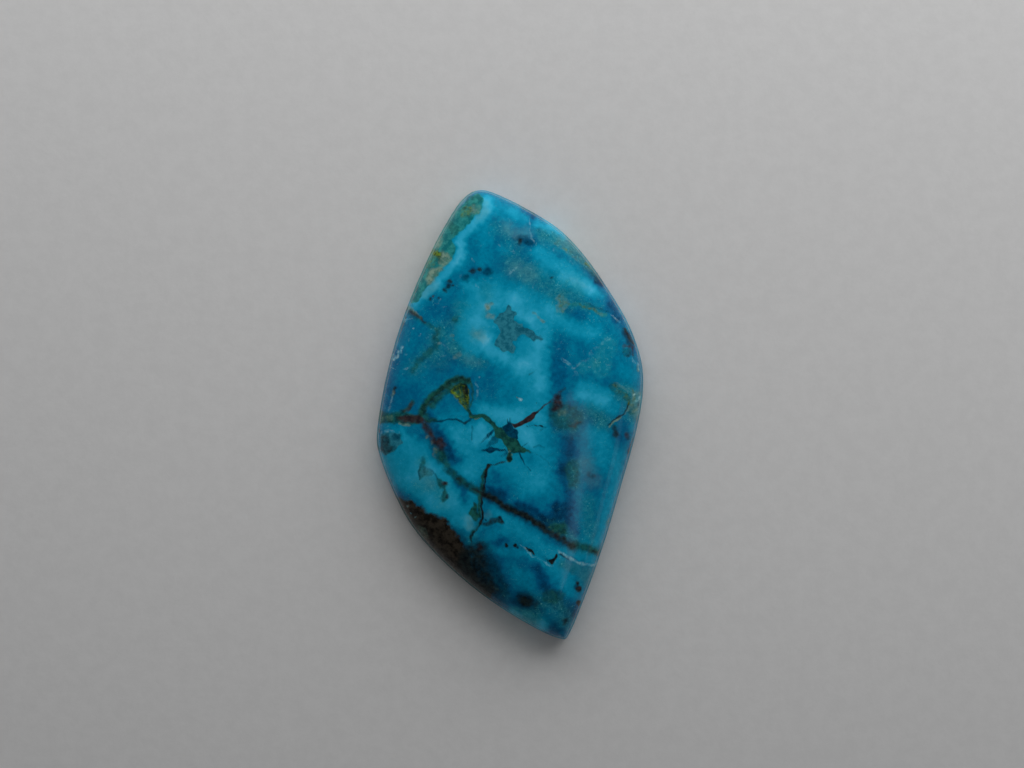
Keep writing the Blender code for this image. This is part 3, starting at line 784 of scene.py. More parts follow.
def lower_vein_marks() -> list[Mark]:
    """Return the long dark vein across the stone and the thin black one that crosses it."""
    diagonal = [
        (-8.9, -0.7), (-8.4, -1.2), (-8.1, -1.8), (-7.7, -2.5), (-7.3, -3.1), (-7.0, -3.9), (-6.6, -4.8),
        (-6.0, -5.6), (-5.4, -6.2), (-4.8, -6.7), (-4.1, -7.1), (-3.4, -7.5), (-2.7, -7.9),
    ]
    lower = [
        (-2.7, -7.95), (-2.0, -8.2), (-1.5, -8.5), (-0.9, -8.9), (-0.3, -9.3), (0.4, -9.6),
        (1.3, -10.0), (2.1, -10.45), (2.8, -10.9), (3.4, -11.35), (4.2, -11.85), (5.0, -12.3),
        (5.7, -12.8), (6.4, -13.15),
    ]
    return [
        Vein(Mineral.NAVY, diagonal[:6], 0.3, 0.3, 0.4, 0.6),
        Vein(Mineral.NAVY, [(-8.1, -2.2), (-7.8, -3.0), (-7.5, -3.8), (-7.0, -4.6)], 0.22, 0.26, 0.35, 0.5),
        Vein(Mineral.MALACHITE, diagonal[5:], 0.28, 0.24, 0.3, 0.55),
        Vein(Mineral.NAVY, diagonal[7:], 0.3, 0.34, 0.3, 0.62),
        Spot(Mineral.OXIDE, (-5.1, -6.45), 0.13, 2.2, -40, 0.16, 0.7),
        Spot(Mineral.OXIDE, (-4.3, -7.1), 0.09, 1.8, -30, 0.16, 0.5),
        Vein(Mineral.OXIDE, [(-3.7, -7.35), (-3.2, -7.6), (-2.7, -7.9)], 0.08, 0.2, 0.14, 0.85),
        Vein(Mineral.IRON, [(-8.5, -1.0), (-8.1, -1.6), (-7.8, -2.1), (-7.5, -2.7)], 0.3, 0.25, 0.35, 0.75),
        Patch(Mineral.IRON, [
            (-7.4, -2.5), (-6.9, -2.3), (-6.5, -2.8), (-6.5, -3.2), (-6.9, -3.5), (-7.3, -3.2),
        ], 0.25, 0.8),
        Spot(Mineral.OCHRE, (-7.4, -3.6), 0.12, 2.2, 80, 0.3, 0.25),
        Spot(Mineral.OXIDE, (-7.95, -1.95), 0.14, 1.6, -50, 0.16, 0.8),
        Spot(Mineral.OXIDE, (-7.3, -2.8), 0.16, 1.4, 0, 0.2, 0.8),
        Spot(Mineral.OCHRE, (-8.5, -1.0), 0.07, 2.2, -50, 0.1, 0.55),
        Spot(Mineral.OCHRE, (-8.25, -2.2), 0.08, 1.6, 40, 0.14, 0.4),
        Spot(Mineral.OCHRE, (-7.8, -2.75), 0.08, 1.6, 70, 0.14, 0.4),
        Patch(Mineral.MALACHITE, [
            (-7.5, -3.7), (-6.9, -3.4), (-6.4, -3.9), (-6.2, -4.6), (-6.3, -5.2), (-6.9, -4.9),
        ], 0.3, 0.75),
        tone([(-7.0, -1.9), (-6.3, -2.9), (-5.9, -3.9), (-5.5, -4.6)], 0.55, -0.34),
        tone([(-4.8, -4.5)], 0.45, -0.12),
        tone([(-5.3, -6.8), (-4.7, -7.5), (-4.5, -8.4)], 0.55, -0.26),
        Vein(Mineral.OXIDE, lower[:10], 0.26, 0.26, 0.16),
        Vein(Mineral.OXIDE, lower[9:], 0.24, 0.16, 0.25, 0.75),
        Vein(Mineral.NAVY, lower, 0.42, 0.4, 0.35, 0.75),
        Vein(Mineral.MALACHITE, [
            (6.2, -13.1), (7.0, -13.15), (7.9, -13.4), (8.9, -13.8),
        ], 0.3, 0.34, 0.35, 0.75),
        Spot(Mineral.OXIDE, (8.5, -13.75), 0.14, 2.0, -20, 0.2, 0.6),
        green([(6.6, -13.2), (8.8, -13.5)], 0.6, 0.6),
        # The brown and olive thickening of the vein near the right.
        Vein(Mineral.OCHRE, [
            (3.4, -11.25), (4.2, -11.75), (5.0, -12.15), (5.8, -12.75),
        ], 0.1, 0.08, 0.3, 0.14),
        Patch(Mineral.MALACHITE, [
            (3.9, -11.2), (4.5, -10.9), (5.4, -10.8), (5.7, -11.2), (5.7, -11.9), (5.0, -12.0), (4.4, -11.8),
        ], 0.25, 0.8),
        Spot(Mineral.OXIDE, (5.35, -12.45), 0.2, 1.6, -40, 0.2, 0.85),
        Spot(Mineral.IRON, (4.6, -12.15), 0.12, 1.8, -35, 0.2, 0.6),
        green([(4.4, -11.2), (6.2, -12.4)], 0.7, 0.7),
        # Navy ground above the vein.
        tone([(-1.9, -7.8), (-0.8, -8.1)], 0.7, -0.36),
        tone([(0.8, -9.1), (1.8, -9.4), (3.2, -10.3)], 0.6, -0.36),
        tone([(4.9, -9.3), (4.8, -10.0), (4.0, -10.8)], 0.9, -0.38),
        # The thin black vein from the knob down to the matrix.
        Vein(Mineral.MALACHITE, [
            (-2.45, -5.6), (-2.7, -6.2), (-2.8, -7.0), (-2.98, -7.8), (-3.08, -8.6), (-3.05, -9.4),
            (-3.0, -10.2),
        ], 0.14, 0.16, 0.12, 0.95),
        Vein(Mineral.OXIDE, [
            (-0.45, -4.7), (-1.1, -4.82), (-1.6, -4.95), (-2.1, -5.1), (-2.35, -5.5), (-2.45, -6.1),
            (-2.55, -6.9), (-2.75, -7.7), (-2.85, -8.5), (-2.8, -9.3), (-2.72, -9.9), (-2.8, -10.4),
            (-3.0, -10.9),
        ], 0.08, 0.12, 0.07),
        Vein(Mineral.OXIDE, [
            (-2.95, -10.8), (-3.25, -11.3), (-3.55, -11.7), (-3.9, -12.1), (-3.92, -12.8), (-4.0, -13.3),
        ], 0.09, 0.06, 0.08),
        Vein(Mineral.MALACHITE, [
            (-3.0, -10.8), (-3.35, -11.3), (-3.8, -11.9), (-4.0, -12.6),
        ], 0.14, 0.08, 0.14, 0.7),
        Vein(Mineral.OXIDE, [(-2.1, -5.1), (-2.3, -5.35), (-2.42, -5.9)], 0.17, 0.12, 0.08),
        Vein(Mineral.OXIDE, [(-2.7, -7.4), (-2.84, -8.3)], 0.16, 0.16, 0.16),
        Patch(Mineral.MALACHITE, [
            (-3.6, -8.75), (-3.35, -8.95), (-3.25, -9.6), (-3.05, -10.2), (-3.2, -10.65), (-3.5, -10.7),
            (-3.9, -10.25), (-4.15, -9.7), (-3.95, -9.3), (-3.75, -9.1),
        ], 0.08, 0.9),
        sand([(-4.2, -10.5), (-4.0, -11.1)], 0.45, 0.5, 3),
        tone([(-4.2, -10.5), (-4.0, -11.1)], 0.5, 0.08, 3),
        Patch(Mineral.OXIDE, [
            (-2.9, -11.0), (-2.4, -10.7), (-2.0, -10.4), (-1.5, -10.3), (-1.05, -10.15), (-0.85, -10.4),
            (-0.7, -10.7), (-0.8, -10.92), (-1.2, -10.75), (-1.7, -10.85), (-2.2, -11.2), (-2.6, -11.15),
        ], 0.14, 0.72),
        Vein(Mineral.NAVY, [(-1.05, -10.2), (-0.8, -10.55), (-0.65, -10.9)], 0.1, 0.05, 0.08),
        Spot(Mineral.NAVY, (-2.5, -10.5), 0.11, 1.1, 0, 0.06),
        sand([(-2.6, -10.0), (-2.0, -10.0)], 0.3, 0.25),
    ]


def lower_left_marks() -> list[Mark]:
    """Return the grey pentagon, the olive bits and the dark matrix of the lower left."""
    return [
        Patch(Mineral.PLUME, [
            (-12.9, -1.85), (-12.0, -1.8), (-11.1, -1.9), (-10.95, -2.3), (-10.65, -2.7), (-11.2, -3.1),
            (-11.5, -3.6), (-11.9, -3.85), (-12.7, -3.9), (-12.9, -3.2),
        ], 0.07),
        Vein(Mineral.PALE, [
            (-13.3, -2.1), (-12.7, -1.65), (-12.0, -1.65), (-11.1, -1.75),
        ], 0.04, 0.03, 0.14, 0.16),
        Patch(Mineral.OXIDE, [
            (-12.85, -2.2), (-12.3, -2.1), (-12.1, -2.6), (-12.2, -3.0), (-11.7, -3.2), (-11.8, -3.6),
            (-12.6, -3.75), (-12.85, -3.1),
        ], 0.25, 0.6),
        Spot(Mineral.NAVY, (-11.4, -2.2), 0.2, 1.8, 10, 0.25, 0.5),
        Spot(Mineral.OXIDE, (-13.15, -1.65), 0.12, 1.8, 70, 0.14, 0.7),
        Patch(Mineral.MALACHITE, [
            (-8.8, -4.25), (-8.5, -4.4), (-8.5, -4.75), (-8.8, -5.1), (-8.6, -5.3), (-8.1, -5.5),
            (-7.8, -5.9), (-8.2, -6.1), (-8.7, -6.1), (-9.0, -6.4), (-9.1, -6.0), (-9.05, -5.3),
            (-8.9, -4.8),
        ], 0.16, 0.5),
        Vein(Mineral.NAVY, [(-9.05, -5.3), (-9.1, -5.9), (-9.0, -6.4)], 0.08, 0.05, 0.12, 0.6),
        Vein(Mineral.NAVY, [(-8.6, -5.2), (-8.0, -5.5), (-7.6, -5.9), (-7.2, -6.5)], 0.07, 0.06, 0.12, 0.6),
        Patch(Mineral.MALACHITE, [
            (-7.3, -6.4), (-6.8, -6.6), (-6.3, -6.9), (-6.5, -7.4), (-6.2, -8.0), (-6.4, -8.6), (-6.8, -8.7),
            (-6.85, -8.2), (-6.7, -7.6), (-7.1, -7.2),
        ], 0.16, 0.75),
        Spot(Mineral.IRON, (-6.55, -6.85), 0.16, 1.8, -25, 0.14, 0.8),
        Spot(Mineral.IRON, (-6.25, -8.2), 0.14, 1.4, 60, 0.14, 0.75),
        green([(-8.8, -4.7), (-8.5, -5.8)], 0.6, 0.8),
        green([(-9.0, -7.0), (-8.0, -7.2), (-7.2, -7.3), (-6.7, -8.6)], 0.9, 0.55),
        sand([(-8.4, -5.8), (-7.9, -7.0)], 0.6, 0.25),
        # The ground of the lower left.
        tone([(-12.4, -1.3), (-10.8, -1.4), (-9.8, -1.9)], 0.6, 0.07),
        tone([(-9.7, -1.9), (-8.9, -2.4)], 0.5, -0.06),
        tone([(-10.6, -2.6), (-9.4, -3.6), (-8.6, -5.2)], 1.1, 0.26),
        tone([(-9.8, -1.6), (-8.8, -1.9)], 0.6, -0.12),
        tone([(-11.8, -4.8), (-10.2, -5.8), (-9.0, -7.2), (-7.4, -8.6)], 1.6, 0.24),
        tone([(-7.4, -5.4), (-6.2, -6.8), (-5.6, -8.6), (-5.2, -10.4)], 1.0, 0.26),
        tone([(-11.2, -6.4), (-9.0, -6.6)], 0.8, 0.08),
        tone([(-11.0, -8.1), (-9.8, -8.3), (-9.0, -9.0)], 0.45, -0.2),
        tone([(-4.0, -8.2), (-4.2, -11.2)], 0.6, 0.18),
        tone([(-8.3, -8.2), (-7.2, -9.3)], 0.9, 0.08),
        # The dark matrix.
        Patch(Mineral.MATRIX, [
            (-12.6, -8.3), (-11.5, -8.45), (-10.9, -8.3), (-10.2, -8.5), (-9.7, -8.65), (-9.3, -9.1),
            (-8.6, -9.35), (-8.2, -9.8), (-7.6, -9.95), (-6.8, -10.2), (-6.2, -10.55), (-6.0, -11.0),
            (-5.5, -11.7), (-5.1, -12.2), (-4.7, -12.7), (-4.4, -13.3), (-4.0, -14.4), (-3.6, -15.4),
            (-3.1, -16.5), (-2.4, -17.2), (-1.9, -17.6), (-2.4, -19.4), (-4.2, -19.0), (-9.0, -14.8),
            (-12.2, -10.6),
        ], 0.25),
        Patch(Mineral.OXIDE, [
            (-4.6, -13.4), (-3.9, -13.1), (-3.4, -13.2), (-2.9, -12.9), (-2.5, -13.2), (-2.7, -13.9),
            (-2.3, -14.6), (-2.3, -15.4), (-1.8, -16.2), (-1.6, -16.9), (-1.2, -17.6), (-2.6, -18.3),
            (-4.4, -16.8), (-5.2, -14.8),
        ], 0.45, 0.8),
        Patch(Mineral.NAVY, [
            (-5.4, -11.3), (-4.8, -12.0), (-4.2, -12.9), (-3.3, -12.7), (-2.3, -12.9), (-1.8, -14.0),
            (-1.2, -15.4), (-0.6, -16.6), (-0.5, -18.0), (-1.0, -19.6), (-3.4, -18.6), (-5.4, -14.0),
        ], 0.7, 0.75),
        Spot(Mineral.IRON, (-3.0, -13.25), 0.18, 1.4, 0, 0.2, 0.6),
        Spot(Mineral.OCHRE, (-8.7, -11.7), 0.14, 2.4, -50, 0.3, 0.25),
        Spot(Mineral.OCHRE, (-1.5, -17.3), 0.1, 1.8, -30, 0.2, 0.35),
        Spot(Mineral.PALE, (-9.4, -10.2), 0.07, 1.6, 30, 0.08, 0.3),
        Spot(Mineral.PALE, (-9.85, -9.8), 0.06, 1.4, 0, 0.08, 0.25),
        Spot(Mineral.PALE, (-10.2, -9.1), 0.05, 1.4, 0, 0.1, 0.2),
        tone([(-2.2, -14.4), (-1.8, -15.8), (-1.0, -17.2)], 0.9, -0.36),
        green([(-3.8, -12.9), (-2.6, -14.2), (-1.6, -16.4), (-0.8, -18.2)], 0.9, 0.6),
    ]


def lower_marks() -> list[Mark]:
    """Return the black dots, the slits, the pale line and the dark spots near the tip."""
    return [
        Spot(Mineral.OXIDE, (-0.37, -13.08), 0.2, 1.05, 0, 0.07),
        Spot(Mineral.OXIDE, (0.55, -13.08), 0.19, 1.15, -40, 0.07),
        Spot(Mineral.NAVY, (0.78, -13.3), 0.14, 1.2, -50, 0.08),
        Patch(Mineral.OXIDE, [
            (1.5, -13.2), (1.75, -13.28), (2.1, -13.4), (2.3, -13.6), (2.45, -13.9), (2.65, -14.15),
            (2.35, -14.0), (2.1, -13.85), (1.8, -13.6),
        ], 0.06),
        Vein(Mineral.PALE, [
            (1.1, -13.05), (1.5, -13.35), (2.0, -13.95), (2.6, -14.3), (3.5, -14.7),
        ], 0.04, 0.03, 0.09, 0.3),
        Patch(Mineral.OXIDE, [
            (3.4, -14.38), (3.75, -14.48), (4.0, -14.48), (4.3, -14.35), (4.5, -14.15), (4.7, -13.9),
            (4.88, -14.15), (4.65, -14.35), (4.45, -14.6), (4.3, -14.9), (4.12, -15.05), (3.95, -14.85),
            (3.75, -14.62),
        ], 0.06),
        Vein(Mineral.PALE, [(3.6, -14.75), (3.9, -15.1), (4.3, -15.15)], 0.04, 0.03, 0.1, 0.3),
        Vein(Mineral.NAVY, [(5.05, -14.0), (5.4, -14.15), (5.9, -14.5)], 0.15, 0.05, 0.08),
        Vein(Mineral.PALE, [
            (4.9, -13.75), (5.4, -13.98), (5.9, -14.3), (6.5, -14.65), (7.2, -14.9), (7.8, -15.0),
            (9.0, -15.05),
        ], 0.06, 0.08, 0.16, 0.4),
        Patch(Mineral.PLUME, [
            (6.0, -15.05), (6.5, -14.98), (7.5, -15.15), (8.9, -15.25), (8.6, -16.2), (8.2, -17.2),
            (7.9, -17.6), (7.55, -17.2), (7.3, -16.6), (7.25, -16.1), (6.6, -16.0), (6.1, -15.9),
        ], 0.2, 0.45),
        Spot(Mineral.OXIDE, (6.78, -16.85), 0.17, 1.2, 90, 0.12, 0.9),
        Spot(Mineral.OXIDE, (6.88, -17.4), 0.28, 1.15, 90, 0.11, 0.95),
        Spot(Mineral.IRON, (6.95, -17.3), 0.12, 1.3, 90, 0.12, 0.6),
        Spot(Mineral.NAVY, (6.6, -17.2), 0.2, 1.4, 80, 0.14, 0.6),
        Spot(Mineral.OXIDE, (6.9, -18.85), 0.28, 1.15, 0, 0.09),
        Patch(Mineral.OXIDE, [
            (0.8, -18.2), (1.4, -18.0), (2.1, -18.2), (2.3, -18.7), (1.7, -19.2), (1.0, -18.9),
        ], 0.3, 0.92),
        Spot(Mineral.NAVY, (1.4, -18.6), 0.8, 1.5, -10, 0.5, 0.75),
        Spot(Mineral.OXIDE, (5.5, -20.7), 0.24, 1.2, 70, 0.2, 0.7),
        Spot(Mineral.OXIDE, (2.6, -19.0), 0.14, 1.8, 40, 0.25, 0.5),
        Patch(Mineral.MALACHITE, [
            (3.4, -17.9), (4.6, -17.7), (5.3, -18.0), (4.9, -18.5), (3.9, -18.7), (3.3, -18.4),
        ], 0.4, 0.5),
        Spot(Mineral.NAVY, (6.4, -20.0), 0.2, 2.0, 60, 0.3, 0.4),
        tone([(-1.6, -9.7), (0.2, -11.0), (2.2, -12.4), (3.6, -13.5), (5.0, -13.9)], 0.7, 0.18),
        tone([(-2.0, -12.2), (-0.6, -11.6)], 0.7, 0.1),
        tone([(3.6, -12.6), (5.0, -12.9)], 0.5, -0.12),
        tone([(5.9, -10.5), (6.4, -11.6)], 0.6, -0.22),
        tone([(-1.5, -12.7), (-0.6, -12.5)], 0.4, -0.25),
        tone([(-0.7, -13.7), (-1.2, -14.8), (-1.6, -15.6)], 0.55, -0.12),
        tone([(0.2, -14.0), (1.6, -14.7), (2.6, -15.3)], 0.45, -0.1, 3),
        tone([(2.7, -15.4), (3.2, -16.3), (3.4, -17.2)], 0.55, -0.28, 3),
        tone([(-0.8, -13.6), (0.6, -13.9), (2.4, -14.2), (3.2, -14.8)], 0.4, 0.16),
        tone([(1.1, -15.3)], 0.5, -0.14),
        tone([(0.9, -15.8), (1.7, -16.7)], 0.7, 0.12),
        tone([(4.7, -15.4), (5.5, -16.4), (5.7, -17.8)], 0.9, 0.18),
        tone([(6.4, -13.9), (8.4, -14.5)], 0.45, 0.18, 4),
        tone([(-0.6, -17.6), (0.2, -18.6), (2.6, -19.2)], 0.8, -0.2),
        tone([(4.4, -18.3), (6.2, -19.6)], 1.0, -0.34),
        tone([(-2.6, -13.6), (-1.0, -14.0)], 0.6, 0.18),
        tone([(0.4, -19.8), (2.0, -20.4), (3.4, -21.2)], 0.6, 0.42),
        tone([(4.0, -21.8), (5.4, -21.0)], 0.8, -0.24),
        green([(0.6, -19.9), (2.4, -20.6)], 0.7, 0.8),
        green([(2.2, -19.6), (3.8, -18.6), (5.0, -19.4), (5.6, -20.8)], 1.0, 0.8),
        green([(7.2, -15.6), (7.8, -16.8)], 0.7, 0.6),
        green([(5.2, -14.9), (6.2, -15.3)], 0.5, 0.8),
    ]


def right_marks() -> list[Mark]:
    """Return the teal leaf, the green corner, the ring and the dark lines of the right side."""
    return [
        Patch(Mineral.OCHRE, [
            (4.8, 11.9), (5.2, 11.95), (5.45, 11.55), (5.9, 11.25), (5.65, 10.8), (5.2, 10.35), (4.8, 10.35),
            (4.65, 10.7), (4.95, 11.05), (4.75, 11.5),
        ], 0.25, 0.32),
        Spot(Mineral.MALACHITE, (5.2, 11.0), 0.16, 1.4, 60, 0.16, 0.5),
        Vein(Mineral.RIND, [
            (5.95, 11.05), (6.95, 11.0), (7.5, 10.75), (8.0, 10.7), (8.6, 10.3), (9.1, 10.1), (9.5, 9.95),
        ], 0.1, 0.16, 0.2, 0.75),
        Vein(Mineral.OCHRE, [(8.0, 10.65), (8.6, 10.3), (9.2, 10.05)], 0.05, 0.08, 0.15, 0.4),
        Vein(Mineral.NAVY, [(7.9, 11.05), (8.5, 10.75), (9.2, 10.5), (9.8, 10.3)], 0.1, 0.08, 0.14, 0.6),
        Vein(Mineral.MALACHITE, [(6.6, 11.15), (7.5, 11.0), (8.3, 10.6), (9.0, 10.3)], 0.12, 0.1, 0.2, 0.2),
        Vein(Mineral.LIME, [(4.9, 11.8), (5.1, 11.3), (5.0, 10.8), (5.3, 10.4)], 0.07, 0.07, 0.14, 0.32),
        Vein(Mineral.LIME, [(5.2, 11.5), (5.6, 11.25), (6.0, 11.1)], 0.06, 0.05, 0.12, 0.28),
        Vein(Mineral.LIME, [(7.0, 11.0), (7.6, 10.75), (8.1, 10.7), (8.7, 10.35)], 0.05, 0.06, 0.14, 0.28),
        Vein(Mineral.PALE, [(10.0, 10.1), (10.5, 9.7), (10.95, 9.2)], 0.04, 0.04, 0.1, 0.3),
        green([(5.0, 11.6), (5.3, 10.6)], 0.8, 0.7),
        green([(6.8, 11.2), (9.0, 10.4)], 0.5, 0.7),
        tone([(6.0, 10.2), (7.1, 9.9)], 0.6, -0.14),
        tone([(8.4, 9.8)], 0.6, 0.08),
        tone([(4.2, 10.6), (5.2, 9.4), (6.6, 8.5), (8.4, 8.2)], 0.8, 0.24),
        tone([(4.9, 7.6), (4.9, 5.6), (4.9, 3.8), (4.9, 2.4)], 0.8, -0.13, 5),
        tone([(7.0, 6.6)], 0.6, -0.05),
        # The teal leaf.
        green([(9.9, 7.0), (9.3, 5.6), (9.2, 4.6)], 0.95, 0.5, 6),
        green([(8.6, 5.2), (7.4, 4.7)], 0.6, 0.45, 6),
        tone([(9.9, 7.0), (9.3, 5.6), (9.2, 4.6)], 0.95, 0.12, 6),
        tone([(8.6, 5.2), (7.4, 4.7)], 0.6, 0.12, 6),
        Patch(Mineral.PLUME, [
            (9.95, 7.55), (10.45, 7.1), (10.7, 6.8), (10.95, 6.05), (10.6, 5.55), (10.45, 4.4), (10.3, 3.8),
            (9.2, 3.7), (7.95, 3.8), (7.1, 4.05), (6.8, 5.05), (7.95, 5.7), (8.2, 6.3), (8.8, 6.8),
            (9.45, 7.4),
        ], 0.2, 0.1),
        Vein(Mineral.PALE, [
            (6.8, 5.1), (7.95, 5.75), (8.2, 6.35), (8.8, 6.85), (9.5, 7.45), (9.95, 7.6),
        ], 0.04, 0.04, 0.2, 0.12),
        *faint_specks([
            (4.8, 6.55), (5.1, 7.3), (7.4, 6.25), (5.35, 5.5), (5.75, 5.2), (6.5, 4.7), (6.3, 3.8),
            (8.6, 5.4), (9.4, 6.2), (9.9, 5.0), (8.0, 4.9), (11.8, 2.4), (5.6, 4.6), (9.0, 4.3), (10.3, 6.6),
        ]),
        Vein(Mineral.PALE, [(5.2, 5.65), (5.5, 5.4), (5.85, 5.1)], 0.04, 0.03, 0.14, 0.2),
        Vein(Mineral.PALE, [(6.0, 5.0), (6.4, 4.5), (6.7, 3.9)], 0.04, 0.03, 0.14, 0.12),
        # The maroon lines and the ring at the right edge.
        Vein(Mineral.OXIDE, [(11.5, 8.5), (11.85, 7.9), (12.2, 7.2)], 0.13, 0.16, 0.16, 0.85),
        Vein(Mineral.NAVY, [(11.4, 8.4), (11.8, 7.7), (12.1, 7.0)], 0.24, 0.26, 0.2, 0.7),
        Vein(Mineral.IRON, [(12.2, 6.8), (12.3, 6.4), (12.3, 5.9)], 0.08, 0.08, 0.14, 0.6),
        Vein(Mineral.IRON, [(11.35, 6.75), (11.6, 6.95), (11.9, 6.85)], 0.08, 0.1, 0.14, 0.65),
        Spot(Mineral.MALACHITE, (11.7, 6.3), 0.28, 1.2, 0, 0.25, 0.5),
        Vein(Mineral.OXIDE, [
            (11.35, 6.2), (11.5, 5.95), (11.85, 5.9), (12.05, 6.15),
        ], 0.06, 0.06, 0.14, 0.45),
        Vein(Mineral.OCHRE, [(12.75, 4.9), (12.8, 4.4)], 0.08, 0.06, 0.12, 0.6),
        Vein(Mineral.PALE, [(12.2, 5.55), (12.7, 5.1), (12.85, 4.6)], 0.04, 0.04, 0.12, 0.25),
        tone([(11.4, 9.4), (11.9, 8.2), (12.4, 6.4)], 0.6, -0.12),
        tone([(11.2, 4.5), (12.4, 3.8)], 0.7, 0.13),
        # The bright pool and the green corner.
        tone([(7.3, 2.4), (8.4, 2.2), (9.4, 1.8)], 0.95, 0.25, 4),
        tone([(7.2, 1.6), (9.2, 1.0), (10.3, 0.8)], 0.8, 0.15, 4),
        tone([(10.2, 3.0)], 0.6, -0.05),
        Vein(Mineral.MALACHITE, [
            (10.3, 2.85), (11.1, 2.2), (11.8, 1.5), (12.1, 0.9), (12.2, 0.3),
        ], 0.22, 0.26, 0.35, 0.45),
        Patch(Mineral.MALACHITE, [
            (11.6, 2.6), (12.4, 2.6), (14.2, 2.4), (14.0, 0.2), (12.9, -0.3), (12.2, -0.1), (12.0, 0.8),
            (11.9, 1.6),
        ], 0.4, 0.12),
        green([(11.2, 2.3), (12.6, 1.3), (12.6, 0.2)], 0.9, 1.0),
        sand([(12.7, 1.9), (12.4, 0.8), (12.7, 0.1)], 0.6, 0.6),
        tone([(11.4, 2.4), (12.8, 1.4), (12.8, 0.4)], 0.8, 0.12),
        Spot(Mineral.PALE, (12.5, 2.0), 0.08, 1.8, 40, 0.1, 0.5),
        Spot(Mineral.PALE, (12.95, 1.7), 0.08, 1.6, 80, 0.1, 0.5),
        Spot(Mineral.PALE, (12.7, 1.35), 0.06, 1.6, 0, 0.1, 0.4),
        Spot(Mineral.OCHRE, (12.2, 1.0), 0.14, 1.6, 60, 0.16, 0.6),
        Spot(Mineral.OCHRE, (12.5, 0.45), 0.14, 1.6, 30, 0.16, 0.6),
        Spot(Mineral.OXIDE, (12.75, 1.0), 0.1, 1.6, 70, 0.16, 0.5),
        Vein(Mineral.OXIDE, [
            (11.9, 1.3), (11.8, 0.8), (11.45, 0.2), (10.95, -0.12), (10.5, -0.4), (10.1, -0.8), (9.85, -1.0),
        ], 0.07, 0.08, 0.08, 0.9),
        Vein(Mineral.OCHRE, [
            (11.1, -0.22), (10.7, -0.5), (10.2, -0.9), (9.95, -1.2),
        ], 0.09, 0.08, 0.08, 0.9),
        Vein(Mineral.LIME, [(10.5, -0.7), (10.2, -1.0)], 0.05, 0.04, 0.08, 0.6),
        Vein(Mineral.OCHRE, [(10.5, 3.1), (11.3, 2.75), (12.2, 2.3), (13.2, 2.1)], 0.06, 0.06, 0.2, 0.25),
        Vein(Mineral.LIME, [(10.4, 2.9), (11.0, 2.3), (11.6, 1.8), (12.0, 1.2)], 0.08, 0.1, 0.2, 0.3),
        Vein(Mineral.LIME, [(12.0, 2.6), (12.5, 2.1), (12.4, 1.4)], 0.05, 0.05, 0.14, 0.3),
        Vein(Mineral.OCHRE, [(12.4, 2.2), (12.3, 1.4), (12.0, 0.7), (11.5, 0.1)], 0.06, 0.06, 0.12, 0.5),
        Patch(Mineral.OXIDE, [
            (10.3, -1.15), (10.6, -1.1), (10.75, -1.5), (10.85, -2.0), (10.55, -2.25), (10.35, -1.8),
        ], 0.22, 0.75),
        Spot(Mineral.IRON, (11.65, -2.0), 0.18, 1.4, -50, 0.2, 0.65),
        Spot(Mineral.NAVY, (11.9, -2.35), 0.16, 1.3, 0, 0.2, 0.65),
        Vein(Mineral.IRON, [(12.4, -2.6), (12.1, -3.2), (11.85, -4.0)], 0.14, 0.1, 0.18, 0.7),
        Spot(Mineral.IRON, (12.85, -0.45), 0.18, 1.8, 75, 0.2, 0.55),
        tone([(11.4, -0.9), (11.3, -2.6)], 0.7, -0.12),
        tone([(12.3, -1.2)], 0.5, 0.16),
        # The dark teal ground between the blob and the corner.
        Spot(Mineral.OCHRE, (5.3, 0.2), 0.2, 1.6, 20, 0.3, 0.4),
        Vein(Mineral.IRON, [(6.05, -1.1), (6.5, -1.0), (6.9, -0.8)], 0.1, 0.08, 0.2, 0.5),
        tone([(5.6, 0.6), (6.6, -0.6)], 0.9, -0.12),
        Vein(Mineral.OCHRE, [(6.3, -0.85), (6.8, -0.65), (7.1, -0.7)], 0.05, 0.05, 0.14, 0.2),
        Patch(Mineral.MALACHITE, [
            (4.4, 1.0), (5.6, 1.0), (6.8, 0.4), (7.0, -0.9), (5.8, -1.3), (4.6, -1.0), (4.2, 0.0),
        ], 0.6, 0.5),
        green([(4.8, 0.2), (6.4, -0.2), (8.0, 0.2), (9.4, -0.7)], 0.9, 0.8),
        green([(4.9, -1.2), (6.4, -1.6)], 0.8, 0.5),
        tone([(7.4, -0.4), (8.6, -0.6)], 0.7, -0.12),
        tone([(4.6, 0.9), (4.5, -0.6), (5.0, -1.4)], 0.6, -0.2),
        tone([(5.7, -2.6), (5.6, -3.8), (5.2, -5.4)], 0.75, -0.2, 3.5),
        # The green patch inside the right flank.
        Patch(Mineral.MALACHITE, [
            (5.7, -5.0), (6.1, -4.7), (6.7, -4.7), (6.8, -5.6), (6.7, -6.8), (6.2, -7.2), (5.9, -6.6),
            (5.6, -5.8),
        ], 0.35, 0.5),
        tone([(5.3, -5.4), (5.5, -6.6), (5.9, -7.6), (6.1, -9.6)], 0.5, -0.2),
        tone([(6.3, -1.8), (6.4, -4.2)], 0.6, -0.12),
        green([(6.3, -5.0), (6.4, -6.8)], 0.6, 0.8),
        Spot(Mineral.IRON, (8.1, -6.1), 0.14, 1.8, -20, 0.3, 0.45),
        sand([(7.6, -4.8), (8.3, -6.6)], 0.8, 0.3),
        tone([(7.9, -6.0), (8.3, -7.4)], 0.8, -0.08),
        tone([(8.4, -1.8), (9.3, -3.2), (9.2, -4.4)], 1.1, 0.18),
        tone([(10.9, -4.0), (10.4, -7.4), (9.4, -10.8), (8.9, -12.6)], 0.55, 0.19),
        green([(7.9, -8.8), (8.0, -12.2)], 0.8, 0.6),
        Spot(Mineral.OCHRE, (9.85, -10.8), 0.12, 2.2, 75, 0.2, 0.5),
        tone([(8.0, -8.5), (7.9, -11.6)], 0.8, 0.04),
